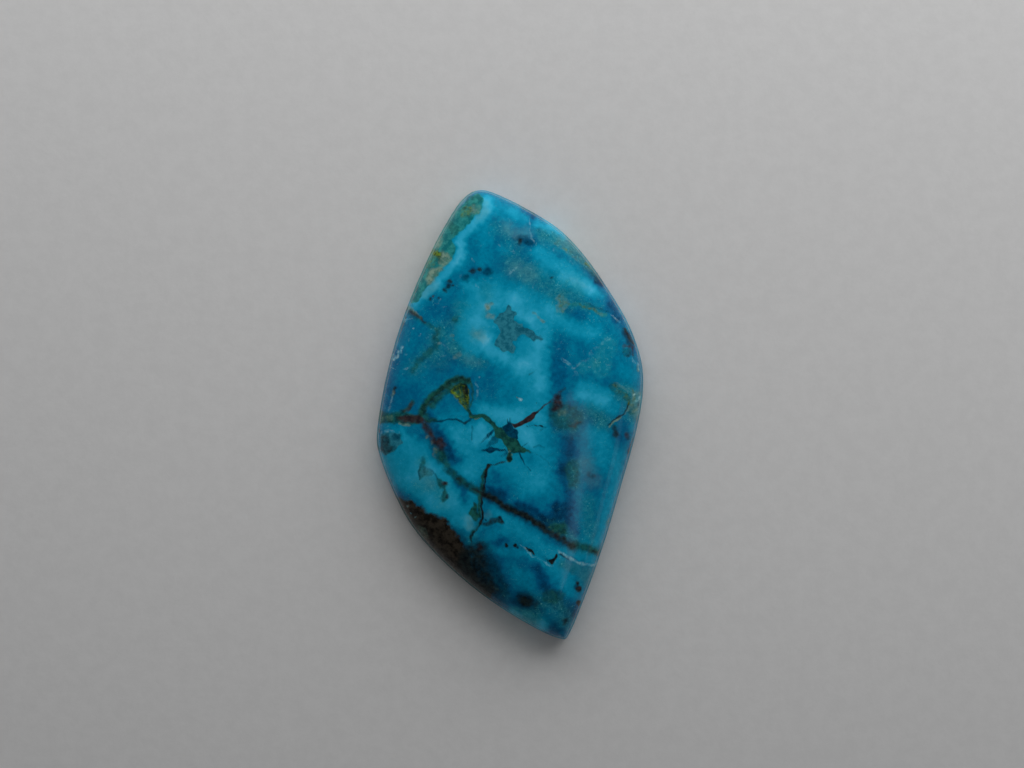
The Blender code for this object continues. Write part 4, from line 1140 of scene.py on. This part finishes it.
        tone([(7.6, -12.5), (8.4, -12.9)], 0.5, 0.14),
    ]


def all_marks() -> list[Mark]:
    """Return every marking of the stone."""
    return (
        crown_marks() + upper_right_marks() + left_marks() + plume_marks() + vug_marks()
        + cluster_marks() + lower_vein_marks() + lower_left_marks() + lower_marks() + right_marks()
    )


# ---- Shader building ----


@dataclass(frozen=True)
class Bench:
    """A material's or world's node tree, and the one way in which nodes are added to it."""

    tree: bpy.types.NodeTree

    def node(self, kind: str, settings: dict[str, Any] | None = None, **sockets: Any) -> bpy.types.Node:
        """Add a node.

        Args:
            kind: The node's type, without its "ShaderNode".
            settings: The node's own settings, which are set first.
            sockets: Values or links for its inputs, by name, or by place as in i0.

        Returns:
            The new node.
        """
        made = self.tree.nodes.new("ShaderNode" + kind)
        for name, value in (settings or {}).items():
            setattr(made, name, value)
        for name, value in sockets.items():
            place = int(name[1:]) if name[0] == "i" and name[1:].isdigit() else name.replace("_", " ")
            socket = made.inputs[place]
            if isinstance(value, Signal):
                self.tree.links.new(value.socket, socket)
            elif isinstance(value, bpy.types.NodeSocket):
                self.tree.links.new(value, socket)
            else:
                socket.default_value = value
        return made

    def signal(self, kind: str, settings: dict[str, Any] | None = None, **sockets: Any) -> "Signal":
        """Add a node and return its first output as a signal."""
        return Signal(self, self.node(kind, settings, **sockets).outputs[0])

    def kept(self, name: str) -> "Signal":
        """Return the numbers kept on the mesh under this name."""
        node = self.node("Attribute", {"attribute_type": "GEOMETRY", "attribute_name": name})
        return Signal(self, node.outputs["Fac"])

    def noise(
        self, place: Any, scale: float, detail: float = 2.0, rough: float = 0.55, curl: float = 0.0,
    ) -> "Signal":
        """Return soft noise round 0.5 with this many waves in a millimetre, curled if asked."""
        return self.signal(
            "TexNoise", {"noise_dimensions": "3D"},
            Vector=place, Scale=scale, Detail=detail, Roughness=rough, Distortion=curl,
        )

    def mix(self, share: Any, low: Any, high: Any) -> bpy.types.NodeSocket:
        """Return the colour that goes from low to high as the share goes from 0 to 1."""
        node = self.node("Mix", {"data_type": "RGBA"}, i0=share, i6=low, i7=high)
        return node.outputs[2]

    def ramp(self, share: Any, stops: list[tuple[float, Colour]]) -> bpy.types.NodeSocket:
        """Return a colour that passes through the stops as the share rises."""
        node = self.node("ValToRGB", None, Fac=share)
        while len(node.color_ramp.elements) < len(stops):
            node.color_ramp.elements.new(0.5)
        for element, (place, colour) in zip(node.color_ramp.elements, stops):
            element.position = place
            element.color = colour
        return node.outputs["Color"]


@dataclass(frozen=True)
class Signal:
    """A number socket that can stand in a Python expression."""

    bench: Bench
    socket: bpy.types.NodeSocket

    def maths(self, operation: str, *values: Any, clamp: bool = False) -> "Signal":
        """Return a Math node's result on these values."""
        sockets = {f"i{place}": value for place, value in enumerate(values)}
        return self.bench.signal("Math", {"operation": operation, "use_clamp": clamp}, **sockets)

    def __add__(self, other: Any) -> "Signal":
        """Return the sum."""
        return self.maths("ADD", self, other)

    def __sub__(self, other: Any) -> "Signal":
        """Return the difference."""
        return self.maths("SUBTRACT", self, other)

    def __rsub__(self, other: Any) -> "Signal":
        """Return the difference, the other way round."""
        return self.maths("SUBTRACT", other, self)

    def __mul__(self, other: Any) -> "Signal":
        """Return the product."""
        return self.maths("MULTIPLY", self, other)

    def over(self, low: float, high: float) -> "Signal":
        """Return a smooth step that goes from 0 at low to 1 at high."""
        return self.bench.signal(
            "MapRange", {"interpolation_type": "SMOOTHSTEP"},
            Value=self, From_Min=low, From_Max=high, To_Min=0.0, To_Max=1.0,
        )

    def clamped(self) -> "Signal":
        """Return the number kept between 0 and 1."""
        return self.maths("ADD", self, 0.0, clamp=True)

    __radd__ = __add__
    __rmul__ = __mul__


# ---- Finishes ----


@dataclass(frozen=True)
class MineralLook:
    """How one mineral looks: two colours that its grain mixes, and how ragged its edge is."""

    dark: Colour
    light: Colour
    grain: float
    ragged: float
    rough: float = 0.0


MINERAL_LOOKS = {
    Mineral.RIND: MineralLook(looks(8, 84, 90), looks(34, 112, 110), 1.1, 0.03),
    Mineral.PLUME: MineralLook(looks(14, 78, 96), looks(34, 102, 118), 1.6, 0.02),
    Mineral.NAVY: MineralLook(looks(0, 36, 56), looks(0, 56, 80), 1.6, 0.015),
    Mineral.MATRIX: MineralLook(looks(14, 12, 10), looks(42, 38, 32), 1.7, 0.04, rough=0.10),
    Mineral.MALACHITE: MineralLook(looks(8, 46, 46), looks(20, 72, 64), 1.8, 0.02),
    Mineral.OCHRE: MineralLook(looks(56, 92, 84), looks(102, 124, 110), 1.8, 0.02),
    Mineral.OXIDE: MineralLook(looks(7, 14, 18), looks(24, 34, 34), 1.8, 0.02, rough=0.05),
    Mineral.IRON: MineralLook(looks(24, 22, 28), looks(46, 36, 38), 1.8, 0.02),
    Mineral.LIME: MineralLook(looks(30, 42, 12), looks(84, 108, 30), 3.0, 0.03, rough=0.05),
    Mineral.PALE: MineralLook(looks(76, 148, 168), looks(150, 194, 192), 3.0, 0.02),
}

# The blue ground from its darkest to its lightest tone.
TONE_STOPS = [
    (0.00, looks(0, 38, 62)),
    (0.15, looks(0, 58, 90)),
    (0.30, looks(0, 77, 110)),
    (0.42, looks(0, 92, 121)),
    (0.55, looks(0, 107, 135)),
    (0.70, looks(12, 121, 149)),
    (0.85, looks(36, 137, 166)),
    (1.00, looks(80, 158, 182)),
]
PLAIN_TONE = 0.43


@dataclass(frozen=True)
class PolishedStone:
    """The finish of the stone: blue ground, hazes, minerals, and a polish on the dome.

    The wall is only ground fine, up to wall_top above the back, which frosts it a little.
    """

    roughness: float = 0.09
    wall_roughness: float = 0.55
    index: float = 1.46
    shine: float = 0.3
    wall_top: float = 0.0019
    frost: float = 0.22

    def ground(self, bench: Bench, noises: dict[str, Signal]) -> bpy.types.NodeSocket:
        """Return the colour of the blue ground with its mottling and hazes.

        Args:
            bench: The material's tree.
            noises: The shared noises.

        Returns:
            The colour socket.
        """
        flat = bench.kept(Haze.TONE.value) + PLAIN_TONE
        calm = 1.0 - flat.over(0.5, 0.85) * 0.6
        mottle = (noises["broad"] - 0.5) * 0.18 + (noises["middle"] - 0.5) * 0.28 * calm
        grain = (noises["fine"] - 0.5) * 0.4 * calm
        colour = bench.ramp((flat + mottle + grain).clamped(), TONE_STOPS)
        greened = (bench.kept(Haze.GREEN.value) * (noises["middle"] * 1.8)).clamped()
        teal = bench.mix(noises["speckle"].over(0.35, 0.7), looks(6, 78, 86), looks(44, 116, 118))
        colour = bench.mix(greened * 0.62, colour, teal)
        sanded = (bench.kept(Haze.SAND.value) * (noises["speckle"] * 1.8)).clamped()
        colour = bench.mix(sanded * 0.6, colour, looks(92, 126, 118))
        dust = noises["dust"].over(0.58, 0.72) * (greened * 0.55 + noises["broad"].over(0.4, 0.65) * 0.28)
        return bench.mix(dust, colour, looks(70, 148, 150))

    def build(self) -> bpy.types.Material:
        """Return the stone's material."""
        material = bpy.data.materials.new(SLOT_NAME)
        material.use_nodes = True
        bench = Bench(material.node_tree)
        shader = material.node_tree.nodes["Principled BSDF"]
        at = bench.node("TexCoord").outputs["Object"]
        place = bench.node("VectorMath", {"operation": "SCALE"}, i0=at, Scale=1 / MM).outputs[0]
        noises = {
            "broad": bench.noise(place, 0.4, 2.0, curl=0.6),
            "middle": bench.noise(place, 0.95, 3.0, 0.6, curl=1.2),
            "fine": bench.noise(place, 2.6, 4.0, 0.7, curl=0.6),
            "speckle": bench.noise(place, 2.0, 4.0, 0.75, curl=0.8),
            "wander": bench.noise(place, 2.2, 3.0, 0.6),
            "dust": bench.noise(place, 5.0, 2.0, 0.6, curl=1.0),
        }
        colour = self.ground(bench, noises)
        extra = None
        for mineral, look in MINERAL_LOOKS.items():
            edge = bench.kept(mineral.value) + (noises["wander"] - 0.5) * (4.0 * look.ragged)
            mask = 1.0 - edge.over(-CRISP, CRISP)
            grain = bench.noise(place, look.grain, 3.0, 0.7).over(0.36, 0.64)
            colour = bench.mix(mask, colour, bench.mix(grain, look.dark, look.light))
            if look.rough:
                rougher = mask * look.rough
                extra = rougher if extra is None else extra + rougher
        height = bench.node("SeparateXYZ", None, Vector=at).outputs["Z"]
        wall = 1.0 - (Signal(bench, height) * (1 / self.wall_top)).over(0.8, 1.25)
        colour = bench.mix(wall * self.frost, colour, looks(96, 140, 142))
        rough = extra + self.roughness + wall * (self.wall_roughness - self.roughness)
        tree = material.node_tree
        tree.links.new(colour, shader.inputs["Base Color"])
        tree.links.new(rough.socket, shader.inputs["Roughness"])
        shader.inputs["IOR"].default_value = self.index
        shader.inputs["Specular IOR Level"].default_value = self.shine
        return material


@dataclass(frozen=True)
class Paper:
    """The finish of the floor: pale matt paper with a faint grain."""

    grey: Colour = (0.780, 0.780, 0.780, 1.0)
    shade: Colour = (0.748, 0.748, 0.748, 1.0)

    def build(self) -> bpy.types.Material:
        """Return the paper's material."""
        material = bpy.data.materials.new("pale_paper")
        material.use_nodes = True
        bench = Bench(material.node_tree)
        shader = material.node_tree.nodes["Principled BSDF"]
        at = bench.node("TexCoord").outputs["Object"]
        place = bench.node("VectorMath", {"operation": "SCALE"}, i0=at, Scale=1 / MM).outputs[0]
        fibre = bench.noise(place, 0.6, 4.0, 0.7)
        colour = bench.mix(fibre.over(0.3, 0.7), self.shade, self.grey)
        bump = bench.node("Bump", None, Strength=0.12, Distance=0.0002, Height=fibre)
        tree = material.node_tree
        tree.links.new(colour, shader.inputs["Base Color"])
        tree.links.new(bump.outputs["Normal"], shader.inputs["Normal"])
        shader.inputs["Roughness"].default_value = 0.95
        shader.inputs["Specular IOR Level"].default_value = 0.1
        return material


# ---- The stone ----


@dataclass(frozen=True)
class Pit:
    """A shallow dip in the polished face, under one marking."""

    mark: Vein | Patch | Spot
    deep: float
    rim: float

    def dip(self, places: np.ndarray) -> np.ndarray:
        """Return how far the face sinks at each place, in millimetres."""
        share = np.clip(-self.mark.depth(places) / self.rim, 0.0, 1.0)
        return self.deep * share * share * (3 - 2 * share)


def stone_pits() -> list[Pit]:
    """Return the pits: the vug, the black dots and slits, and the holes near the tip."""
    vug = Patch(Mineral.LIME, [
        (-5.8, 2.4), (-5.4, 2.95), (-4.8, 3.2), (-4.35, 3.1), (-4.15, 2.4), (-4.3, 1.5), (-4.6, 0.8),
        (-5.0, 1.3), (-5.45, 1.8),
    ])
    slit = Vein(Mineral.OXIDE, [(1.6, -13.3), (2.1, -13.6), (2.6, -14.1)], 0.2, 0.1)
    hook = Vein(Mineral.OXIDE, [(3.6, -14.45), (4.15, -14.65), (4.7, -14.05)], 0.2, 0.12)
    return [
        Pit(vug, 0.14, 0.5),
        Pit(Spot(Mineral.OXIDE, (-0.37, -13.05), 0.26), 0.10, 0.25),
        Pit(Spot(Mineral.OXIDE, (0.55, -13.1), 0.26), 0.10, 0.25),
        Pit(slit, 0.08, 0.2),
        Pit(hook, 0.08, 0.2),
        Pit(Spot(Mineral.IRON, (6.8, -17.3), 0.35), 0.07, 0.3),
        Pit(Spot(Mineral.OXIDE, (6.82, -18.85), 0.34), 0.07, 0.3),
    ]


def raised(ring: np.ndarray, height: float) -> np.ndarray:
    """Return the ring's points at this height."""
    return np.column_stack([ring, np.full(len(ring), height)])


@dataclass
class Cabochon:
    """The stone: its cut edge seen from above, its wall and dome, and how finely it is meshed.

    Sizes are in millimetres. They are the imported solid's own driving dimensions. Rings on the dome
    crowd towards its wall by the power ring_crowding, and each is sought in inset_rounds rounds.
    Distances from the edge are measured on every third or fourth point of it, as inset_skip and
    chart_skip say. An edge between faces is sharp past sharp_angle degrees. The markings were drawn
    flat round drawn_round, at drawn_level, from drawn_from above it.
    """

    thickness: float = 5.2
    bevel_width: float = 0.5
    bevel_height: float = 0.4
    wall_height: float = 1.9
    wall_lean: float = 0.25
    dome_width: float = 13.1
    dome_power: float = 2.2
    even_width: float = 6.0
    around: int = 720
    even_rings: int = 52
    wall_rings: int = 7
    bevel_rings: int = 3
    back_rings: int = 13
    bend_weight: float = 7.0
    curve_steps: int = 16
    inset_rounds: int = 14
    inset_skip: int = 3
    chart_skip: int = 4
    ring_crowding: float = 1.25
    sharp_angle: float = 30.0
    vein_slant: Point = (0.3, -0.2)
    drawn_round: Point = (0.2, 3.1)
    drawn_level: float = 1.0
    drawn_from: float = 283.0
    edge_points: Points = field(default_factory=lambda: [
        # The tip and the lower left edge.
        (5.85, -22.1), (5.5, -22.5), (5.1, -22.45), (3.9, -22.05),
        (0.3, -20.1), (-3.6, -17.4), (-7.4, -14.0), (-10.0, -10.9), (-11.9, -7.2),
        # The left corner and the upper left edge.
        (-13.1, -3.9), (-13.35, -2.5),
        (-12.9, 1.3), (-11.8, 6.2), (-10.3, 10.8), (-8.15, 15.8), (-6.6, 18.8), (-4.9, 21.4),
        # The crown and the upper right edge.
        (-3.8, 22.3), (-2.7, 22.5), (-1.6, 22.2),
        (1.9, 20.5), (5.0, 18.5), (7.4, 16.0), (10.0, 12.3), (12.0, 8.8),
        # The right corner and the lower right edge.
        (13.2, 5.1), (13.3, 2.2),
        (12.6, -1.8), (11.1, -7.2), (9.4, -12.9), (7.55, -18.1),
    ])
    sheet: MarkingSheet = field(default_factory=MarkingSheet)
    pits: list[Pit] = field(default_factory=list)

    def cut_edge(self) -> np.ndarray:
        """Return the edge's points, closer together where it bends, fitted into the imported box."""
        loop = smooth_line(self.edge_points, self.curve_steps, closed=True)
        loop = np.vstack([loop, loop[:1]])
        steps = np.diff(loop, axis=0)
        headings = np.arctan2(steps[:, 1], steps[:, 0])
        bends = np.abs((np.diff(headings, append=headings[0]) + math.pi) % (2 * math.pi) - math.pi)
        progress = np.cumsum(np.linalg.norm(steps, axis=1) + self.bend_weight * bends)
        progress = np.concatenate([[0.0], progress])
        stops = np.linspace(0.0, progress[-1], self.around, endpoint=False)
        edge = np.column_stack([np.interp(stops, progress, loop[:, axis]) for axis in (0, 1)])
        low, high = (np.array(corner)[:2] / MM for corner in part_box(NODE_NAME))
        edge = edge - (edge.min(axis=0) + edge.max(axis=0)) / 2
        return edge * np.minimum(1.0, (high - low) / (edge.max(axis=0) - edge.min(axis=0)))

    def soften(self, ring: np.ndarray, spread: float) -> np.ndarray:
        """Return the ring with each point averaged over a stretch of it.

        Args:
            ring: The ring's points.
            spread: How far the stretch reaches each way, in millimetres.

        Returns:
            The softened ring.
        """
        steps = np.linalg.norm(np.roll(ring, -1, axis=0) - ring, axis=1)
        travelled = np.cumsum(steps) - steps
        apart = np.abs(travelled[:, None] - travelled[None, :])
        apart = np.minimum(apart, steps.sum() - apart) / spread
        share = steps + np.roll(steps, 1)
        weights = np.where(apart < 1.0, (1.0 + np.cos(math.pi * apart)) * share, 0.0)
        return weights @ ring / weights.sum(axis=1, keepdims=True)

    def even_rings_at(self, edge: np.ndarray, insets: list[float]) -> list[np.ndarray]:
        """Return rings that keep these distances inside the cut edge.

        Args:
            edge: The cut edge.
            insets: The distances, from small to large.

        Returns:
            One ring for each distance, with corners that soften as it grows.
        """
        reach = np.linalg.norm(edge, axis=1)
        inward = -edge / reach[:, None]
        lengths = np.zeros(len(edge))
        coarse = edge[::self.inset_skip]
        rings = []
        for inset in insets:
            for _ in range(self.inset_rounds):
                depths = nearest_side(edge + inward * lengths[:, None], coarse, closed=True)[0]
                lengths = np.clip(lengths + inset - depths, 0.0, reach)
            rings.append(self.soften(edge + inward * lengths[:, None], inset))
        return rings

    def dome_height(self, rise: np.ndarray) -> np.ndarray:
        """Return the dome's height where rise runs from 0 at the wall to 1 at the summit."""
        swell = (1.0 - (1.0 - rise) ** self.dome_power) ** (1.0 / self.dome_power)
        return self.wall_height + (self.thickness - self.wall_height) * swell

    def cap_grid(self, ring: np.ndarray, rise: float) -> tuple[np.ndarray, np.ndarray]:
        """Lay a square grid over the inside of the last even ring.

        Args:
            ring: The last even ring.
            rise: The ring's rise on the dome.

        Returns:
            The grid's points inside the ring, with their heights, as (side, side, 3) numbers, and
            the place of each of the grid's own points on the ring, -1 inside it.
        """
        side = self.around // 4
        s = np.linspace(0.0, 1.0, side + 1)[None, :, None]
        t = np.linspace(0.0, 1.0, side + 1)[:, None, None]
        bottom = ring[:side + 1]
        right = ring[side:2 * side + 1]
        top = ring[2 * side:3 * side + 1][::-1]
        left = np.vstack([ring[3 * side:], ring[:1]])[::-1]
        flat = (
            (1 - t) * bottom[None, :, :] + t * top[None, :, :]
            + (1 - s) * left[:, None, :] + s * right[:, None, :]
            - (1 - s) * (1 - t) * bottom[0] - s * (1 - t) * bottom[-1]
            - (1 - s) * t * top[0] - s * t * top[-1]
        )
        angles = np.unwrap(np.arctan2(ring[:, 1], ring[:, 0]))
        order = np.argsort(angles % (2 * math.pi))
        around = (angles % (2 * math.pi))[order]
        reach = np.linalg.norm(ring, axis=1)[order]
        heading = np.arctan2(flat[:, :, 1], flat[:, :, 0]) % (2 * math.pi)
        limit = np.interp(heading, around, reach, period=2 * math.pi)
        share = np.clip(np.linalg.norm(flat, axis=2) / limit, 0.0, 1.0)
        heights = self.dome_height(1.0 - share * (1.0 - rise))
        on_ring = np.full((side + 1, side + 1), -1)
        steps = np.arange(side + 1)
        on_ring[0, :] = steps
        on_ring[:, side] = side + steps
        on_ring[side, :] = (3 * side - steps) % self.around
        on_ring[:, 0] = (4 * side - steps) % self.around
        return np.dstack([flat, heights]), on_ring

    def lower_rings(self, edge: np.ndarray) -> list[np.ndarray]:
        """Return the rings of the back and the bevel, from the middle of the back to the cut edge."""
        back = self.even_rings_at(edge, [self.bevel_width])[0]
        rings = [
            raised(back * (step / self.back_rings), 0.0) for step in range(1, self.back_rings + 1)
        ]
        for step in range(1, self.bevel_rings + 1):
            share = step / self.bevel_rings
            rings.append(raised(back + (edge - back) * share, self.bevel_height * share))
        return rings

    def upper_rings(self, edge: np.ndarray) -> list[np.ndarray]:
        """Return the rings of the wall and the dome, from above the cut edge to the last even ring."""
        depth = self.even_width - self.wall_lean
        insets = [
            self.wall_lean + depth * (step / self.even_rings) ** self.ring_crowding
            for step in range(self.even_rings + 1)
        ]
        dome = self.even_rings_at(edge, insets)
        rings = []
        for step in range(1, self.wall_rings):
            share = step / self.wall_rings
            height = self.bevel_height + (self.wall_height - self.bevel_height) * share
            rings.append(raised(edge + (dome[0] - edge) * share, height))
        for inset, ring in zip(insets, dome):
            rise = (inset - self.wall_lean) / self.dome_width
            rings.append(raised(ring, float(self.dome_height(np.array(rise)))))
        return rings

    def ring_faces(self, levels: int, count: int) -> list[tuple[int, ...]]:
        """Return the faces in the middle of the back and between the rings.

        Args:
            levels: How many rings there are.
            count: How many points each ring has.

        Returns:
            The faces as rows of point numbers, where point 0 is the middle of the back.
        """
        faces: list[tuple[int, ...]] = [(0, 1 + (i + 1) % count, 1 + i) for i in range(count)]
        for level in range(levels - 1):
            low = 1 + level * count
            high = low + count
            for i in range(count):
                after = (i + 1) % count
                faces.append((low + i, low + after, high + after, high + i))
        return faces

    def build_faces(self) -> tuple[np.ndarray, list[tuple[int, ...]]]:
        """Work out the stone's points, in millimetres, and its faces as rows of point numbers."""
        edge = self.cut_edge()
        count = len(edge)
        rings = self.lower_rings(edge) + self.upper_rings(edge)
        faces = self.ring_faces(len(rings), count)
        last_rise = (self.even_width - self.wall_lean) / self.dome_width
        grid, on_ring = self.cap_grid(rings[-1][:, :2], last_rise)
        first_inner = 1 + len(rings) * count
        numbers = on_ring + (first_inner - count)
        inner = on_ring < 0
        numbers[inner] = first_inner + np.arange(inner.sum())
        side = count // 4
        for row in range(side):
            for column in range(side):
                faces.append((
                    numbers[row, column], numbers[row, column + 1],
                    numbers[row + 1, column + 1], numbers[row + 1, column],
                ))
        return np.vstack([np.zeros((1, 3)), *rings, grid[inner]]), faces

    def chart(self, points: np.ndarray) -> np.ndarray:
        """Return where on the sheet of markings each point of the stone lies.

        The markings were drawn flat from a fixed height, so they spread a little as the dome
        rises. Below the dome the veins slant through the stone.
        """
        spread = 1.0 - (points[:, 2:] - self.drawn_level) / self.drawn_from
        centre = np.array(self.drawn_round)
        flat = centre + (points[:, :2] - centre) / spread
        edge = self.cut_edge()[::self.chart_skip]
        insets = nearest_side(points[:, :2], edge, closed=True)[0]
        rise = np.clip((insets - self.wall_lean) / self.dome_width, 0.0, 1.0)
        top = np.where(insets < self.wall_lean, self.wall_height, self.dome_height(rise))
        below = np.where(points[:, 2] < self.wall_height - TINY, top - points[:, 2], 0.0)
        return flat + below[:, None] * np.array(self.vein_slant)

    def build(self, finish: PolishedStone) -> bpy.types.Object:
        """Make the stone's mesh, keep its markings on it and dress it.

        Args:
            finish: The stone's finish.

        Returns:
            The stone.
        """
        points, faces = self.build_faces()
        fields = self.sheet.fields(self.chart(points))
        top = points[:, 2] > self.wall_height - TINY
        for pit in self.pits:
            points[top, 2] -= pit.dip(points[top, :2])
        mesh = bpy.data.meshes.new(NODE_NAME)
        mesh.from_pydata((points * MM).tolist(), [], faces)
        for name, values in fields.items():
            row = mesh.attributes.new(name, "FLOAT", "POINT")
            row.data.foreach_set("value", values.astype(np.float32))
        mesh.shade_smooth()
        mesh.set_sharp_from_angle(angle=math.radians(self.sharp_angle))
        mesh.materials.append(finish.build())
        stone = bpy.data.objects.new("polished_stone", mesh)
        bpy.context.scene.collection.objects.link(stone)
        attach(stone, "root")
        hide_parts(NODE_NAME)
        LOG.info("%s: %d points, %d faces", stone.name, len(points), len(faces))
        return stone


# ---- The studio ----


@dataclass(frozen=True)
class Softbox:
    """A panel of light that faces the stone.

    Heading runs from +X towards +Y, height is above the floor and roll turns the panel on its
    middle, all in degrees. A panel without a glint doesn't show in the polish.
    """

    name: str
    heading: float
    height: float
    distance: float
    size: Point
    radiance: float
    roll: float = 0.0
    glint: bool = True

    def place(self) -> bpy.types.Object:
        """Put the panel in the scene, facing the stone."""
        heading, height = math.radians(self.heading), math.radians(self.height)
        towards = Vector((
            math.cos(heading) * math.cos(height), math.sin(heading) * math.cos(height), math.sin(height),
        ))
        panel = bpy.data.lights.new(self.name, "AREA")
        panel.shape = "RECTANGLE"
        panel.size, panel.size_y = self.size
        panel.energy = self.radiance * math.pi * self.size[0] * self.size[1]
        made = bpy.data.objects.new(self.name, panel)
        made.location = towards * self.distance
        facing = towards.to_track_quat("Z", "Y").to_matrix()
        made.rotation_euler = (facing @ Matrix.Rotation(math.radians(self.roll), 3, "Z")).to_euler()
        made.visible_camera = False
        made.visible_glossy = self.glint
        bpy.context.scene.collection.objects.link(made)
        LOG.info("%s: %.2f m away", self.name, self.distance)
        return made


@dataclass(frozen=True)
class Studio:
    """The floor, the light and the camera.

    The room's light goes from near_side in front to window_side at the back between the two places
    in turn, and gives way to overhead between the two heights in fade. Places run from -1 in front
    to 1 at the back, and heights from 0 at the horizon to 1 straight up. The floor's side is in
    metres, and the numbers of the lens and the view are in millimetres.
    """

    floor_side: float = 3.0
    softboxes: tuple[Softbox, ...] = (
        Softbox("window", 80.0, 30.0, 0.20, (0.50, 0.16), 2.10, glint=False),
        Softbox("ceiling", 90.0, 89.0, 1.00, (2.00, 2.00), 0.142, glint=False),
        Softbox("front_fill", -90.0, 12.0, 0.60, (0.60, 0.16), 0.45, glint=False),
        Softbox("side_panel", -20.5, 61.8, 0.60, (0.32, 0.026), 0.9, roll=73.0),
        Softbox("edge_strip", -16.5, 33.0, 0.60, (0.26, 0.05), 0.35, roll=60.0),
    )
    overhead: float = 0.015
    window_side: float = 0.27
    near_side: float = 0.12
    fade: tuple[float, float] = (0.20, 0.60)
    turn: tuple[float, float] = (-0.7, 0.7)
    lens: float = 100.0
    sensor: float = 36.0
    view_centre: Point = (0.2, 3.08)
    view_width: float = 102.4
    view_level: float = 1.0

    def lay_floor(self) -> bpy.types.Object:
        """Lay the sheet of paper that the stone lies on."""
        half = self.floor_side / 2
        mesh = bpy.data.meshes.new("paper_floor")
        corners = [(-half, -half, 0.0), (half, -half, 0.0), (half, half, 0.0), (-half, half, 0.0)]
        mesh.from_pydata(corners, [], [(0, 1, 2, 3)])
        mesh.materials.append(Paper().build())
        floor = bpy.data.objects.new("paper_floor", mesh)
        bpy.context.scene.collection.objects.link(floor)
        LOG.info("%s: %.1f m square", floor.name, self.floor_side)
        return floor

    def light_world(self) -> None:
        """Fill the room with soft light that is dimmer overhead."""
        world = bpy.data.worlds.new("soft_room")
        world.use_nodes = True
        bpy.context.scene.world = world
        bench = Bench(world.node_tree)
        at = bench.node("TexCoord").outputs["Generated"]
        parts = bench.node("SeparateXYZ", None, Vector=at)
        up = Signal(bench, parts.outputs["Z"])
        away = Signal(bench, parts.outputs["Y"])
        band = away.over(*self.turn) * (self.window_side - self.near_side) + self.near_side
        share = 1.0 - up.over(*self.fade)
        strength = share * (band - self.overhead) + self.overhead
        background = world.node_tree.nodes["Background"]
        background.inputs["Color"].default_value = (1.0, 1.0, 1.0, 1.0)
        world.node_tree.links.new(strength.socket, background.inputs["Strength"])

    def set_camera(self) -> bpy.types.Object:
        """Hang the camera straight above the stone."""
        lens = bpy.data.cameras.new("camera")
        lens.lens = self.lens
        lens.sensor_width = self.sensor
        camera = bpy.data.objects.new("camera", lens)
        away = self.view_width * self.lens / self.sensor
        x, y = self.view_centre
        camera.location = (x * MM, y * MM, (self.view_level + away) * MM)
        bpy.context.scene.collection.objects.link(camera)
        bpy.context.scene.camera = camera
        return camera

    def build(self) -> None:
        """Set up the floor, the lights, the colour handling and the camera."""
        self.lay_floor()
        for softbox in self.softboxes:
            softbox.place()
        self.light_world()
        self.set_camera()
        bpy.context.scene.view_settings.view_transform = "Standard"
        bpy.context.scene.view_settings.look = "None"


def main() -> None:
    """Build the stone and the studio round it."""
    logging.basicConfig(level=logging.INFO, format="%(name)s: %(message)s")
    LOG.info("the frame has the nodes %s", sorted(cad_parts))
    stone = Cabochon(sheet=MarkingSheet(all_marks()), pits=stone_pits())
    stone.build(PolishedStone())
    Studio().build()


if __name__ == "__main__":
    main()
